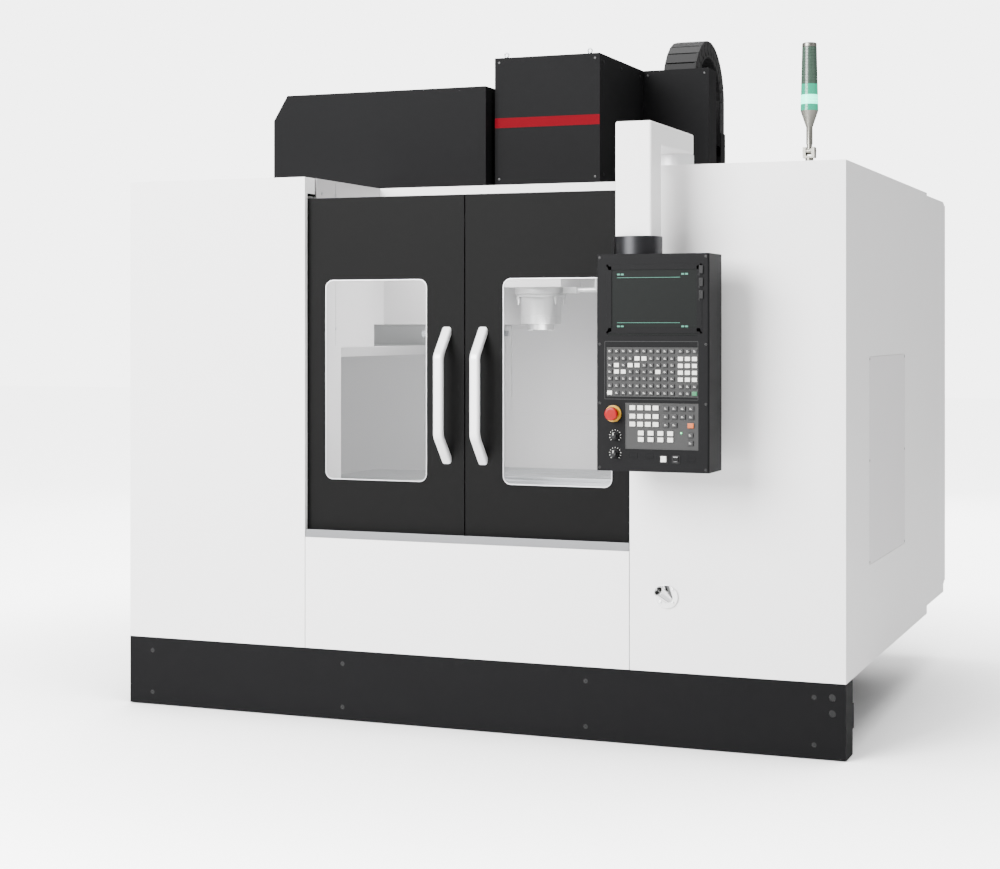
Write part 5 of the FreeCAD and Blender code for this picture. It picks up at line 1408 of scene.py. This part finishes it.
@dataclass
class BaseFittings:
    """Levelling pads with their studs and nuts."""

    foot_x: float = 285.0
    foot_y: Sequence[float] = (210.0, 1000.0, 1840.0)

    def build(self) -> None:
        """Make the six levelling pads."""
        pad = cone("pad", 79.8, 68.0, 24.0, (0, 0, 12.0), sides=48, round_mm=2.0)
        sink(pad, (0, 0, 1), 14.0, -6.0)
        stud = rod("stud", 18.0, 64.0, (0, 0, 60.0), sides=24, round_mm=1.0)
        nut = rod("nut", 31.0, 18.0, (0, 0, 42.0), sides=6, round_mm=1.5)
        top_nut = rod("top", 31.5, 19.0, (0, 0, 80.0), sides=6, round_mm=1.5)
        foot = joined("levelling_feet_finished", pad, stud, nut, top_nut)
        feet = repeated(foot, [(side * self.foot_x, y, 0) for side in (-1, 1) for y in self.foot_y])
        dress(feet, BLACK_STEEL, "machine", ["levelling_feet"])


# ---- studio ---------------------------------------------------------------------------------
# Each soft light: its name, its place and target in metres, its width in metres and its watts.
SOFT_LIGHTS: tuple[tuple[str, Triple, Triple, float, float], ...] = (
    ("key_front", (-2.6, -7.0, 4.2), (0, 0, 1.0), 4.5, 1800.0),
    ("fill_right", (6.5, -2.0, 3.2), (0.6, 0, 1.0), 3.5, 25.0),
    ("top_soft", (0.0, 0.0, 7.5), (0, 0, 0), 8.0, 900.0),
    ("rear_soft", (-2.0, 7.0, 3.6), (0, 0.5, 1.0), 4.5, 500.0),
    ("work_light", (0.0, -0.42, 1.72), (0.0, -0.4, 0.0), 0.8, 16.0),
    ("work_fill_left", (0.1, -0.45, 1.1), (-1.1, -0.35, 0.85), 0.5, 9.0),
    ("work_fill_rear", (0.25, -0.6, 0.95), (0.2, 0.36, 0.9), 0.5, 5.0))


@dataclass
class Studio:
    """Pale floor and backdrop, soft lights, the camera, and a shade painted on the floor under the machine.

    The camera sees the floor and the backdrop brighter than they light the machine, so that its
    sides keep their shade.
    """

    eye: Triple = (2.4365, -6.7296, 1.3337)
    turn: float = 21.46
    lens_mm: float = 68.87
    shift_y: float = -0.1069
    floor_lift: float = 4.4          # brightness of the floor to the camera
    painted_shade_reach: float = 2.2         # metres that the painted shade on the floor under the machine reaches
    painted_shade_power: float = 3.5         # how much darker the painted shade is close in
    sky: float = 0.5                 # brightness of the world as a light
    backdrop: float = 5.2            # brightness of the world to the camera

    def _light(self, name: str, place: Triple, target: Triple, size: float, watts: float) -> None:
        """One square soft light that looks at a target, in metres."""
        lamp = bpy.data.lights.new(name, "AREA")
        lamp.shape = "SQUARE"
        lamp.size = size
        lamp.energy = watts
        piece = bpy.data.objects.new(name, lamp)
        bpy.context.scene.collection.objects.link(piece)
        piece.location = place
        piece.visible_camera = False
        piece.rotation_euler = (Vector(target) - Vector(place)).to_track_quat("-Z", "Y").to_euler()

    def _floor(self) -> None:
        """A wide pale floor whose glow to the camera is darkened under the machine by ambient occlusion: a
        painted shade.
        """
        deselect()
        bpy.ops.mesh.primitive_plane_add(size=60.0, location=(0, 0, 0))
        floor = bpy.context.object
        floor.name = "studio_floor"
        pale = Finish("studio_floor_pale", "#F4F4F4", 0.9, tone=0.0, specular=0.1,
                      glow="#FFFFFF", glow_strength=self.floor_lift).material()
        seen_floor = add_node(pale.node_tree, "ShaderNodeLightPath")
        # painted shade: ambient occlusion dims the floor's glow to the camera under and beside the machine
        shade = add_node(pale.node_tree, "ShaderNodeAmbientOcclusion", {"Distance": self.painted_shade_reach})
        deep = add_node(pale.node_tree, "ShaderNodeMath", {
            0: shade.outputs["AO"], 1: self.painted_shade_power}, operation="POWER")
        lit = add_node(pale.node_tree, "ShaderNodeMath", {
            0: seen_floor.outputs["Is Camera Ray"], 1: self.floor_lift}, operation="MULTIPLY")
        lift = add_node(pale.node_tree, "ShaderNodeMath", {
            0: lit.outputs[0], 1: deep.outputs[0]}, operation="MULTIPLY")
        pale.node_tree.links.new(
            lift.outputs[0], pale.node_tree.nodes["Principled BSDF"].inputs["Emission Strength"])
        floor.data.materials.append(pale)

    def _world(self) -> None:
        """A white world."""
        world = bpy.data.worlds.new("studio_world")
        world.use_nodes = True
        tree = world.node_tree
        sky = tree.nodes["Background"]
        sky.inputs["Color"].default_value = linear("#FFFFFF")
        sky.inputs["Strength"].default_value = self.sky
        backdrop = add_node(tree, "ShaderNodeBackground", {
            "Color": linear("#FFFFFF"), "Strength": self.backdrop})
        seen = add_node(tree, "ShaderNodeLightPath")
        mixed = add_node(tree, "ShaderNodeMixShader", {
            0: seen.outputs["Is Camera Ray"], 1: sky.outputs[0], 2: backdrop.outputs[0]})
        tree.links.new(mixed.outputs[0], tree.nodes["World Output"].inputs["Surface"])
        bpy.context.scene.world = world

    def _camera(self) -> None:
        """The camera, level and turned to the machine's right front edge."""
        lens = bpy.data.cameras.new("studio_camera")
        lens.lens = self.lens_mm
        lens.sensor_width = 36.0
        lens.shift_y = self.shift_y
        camera = bpy.data.objects.new("studio_camera", lens)
        bpy.context.scene.collection.objects.link(camera)
        camera.location = self.eye
        camera.rotation_euler = (math.radians(90), 0, math.radians(self.turn))
        bpy.context.scene.camera = camera

    def build(self) -> None:
        """Set up the floor, the world, the lights and the camera."""
        self._floor()
        self._world()
        for light in SOFT_LIGHTS:
            self._light(*light)
        self._camera()


def repaint_rest() -> None:
    """Give every CAD node that is still shown the better material of its slot."""
    for name, node in frame["nodes"].items():
        if node.hide_render:
            continue
        node.data.materials.clear()
        node.data.materials.append(SLOT_FINISH[NODE_SLOT[name]].material())
        LOG.info("%s keeps its CAD mesh", name)


def main() -> None:
    """Build every sub-assembly in order."""
    for assembly in (SheetWork(), Fixings(), SlidingDoors(), WashOutlet(), ControlPendant(), SignalLight(),
                     HeadDress(), CableChain(), ToolStore(), WorkSpace(), RearFittings(), BaseFittings()):
        LOG.info("building %s", type(assembly).__name__)
        assembly.build()
    repaint_rest()
    Studio().build()


if __name__ == "__main__":
    main()
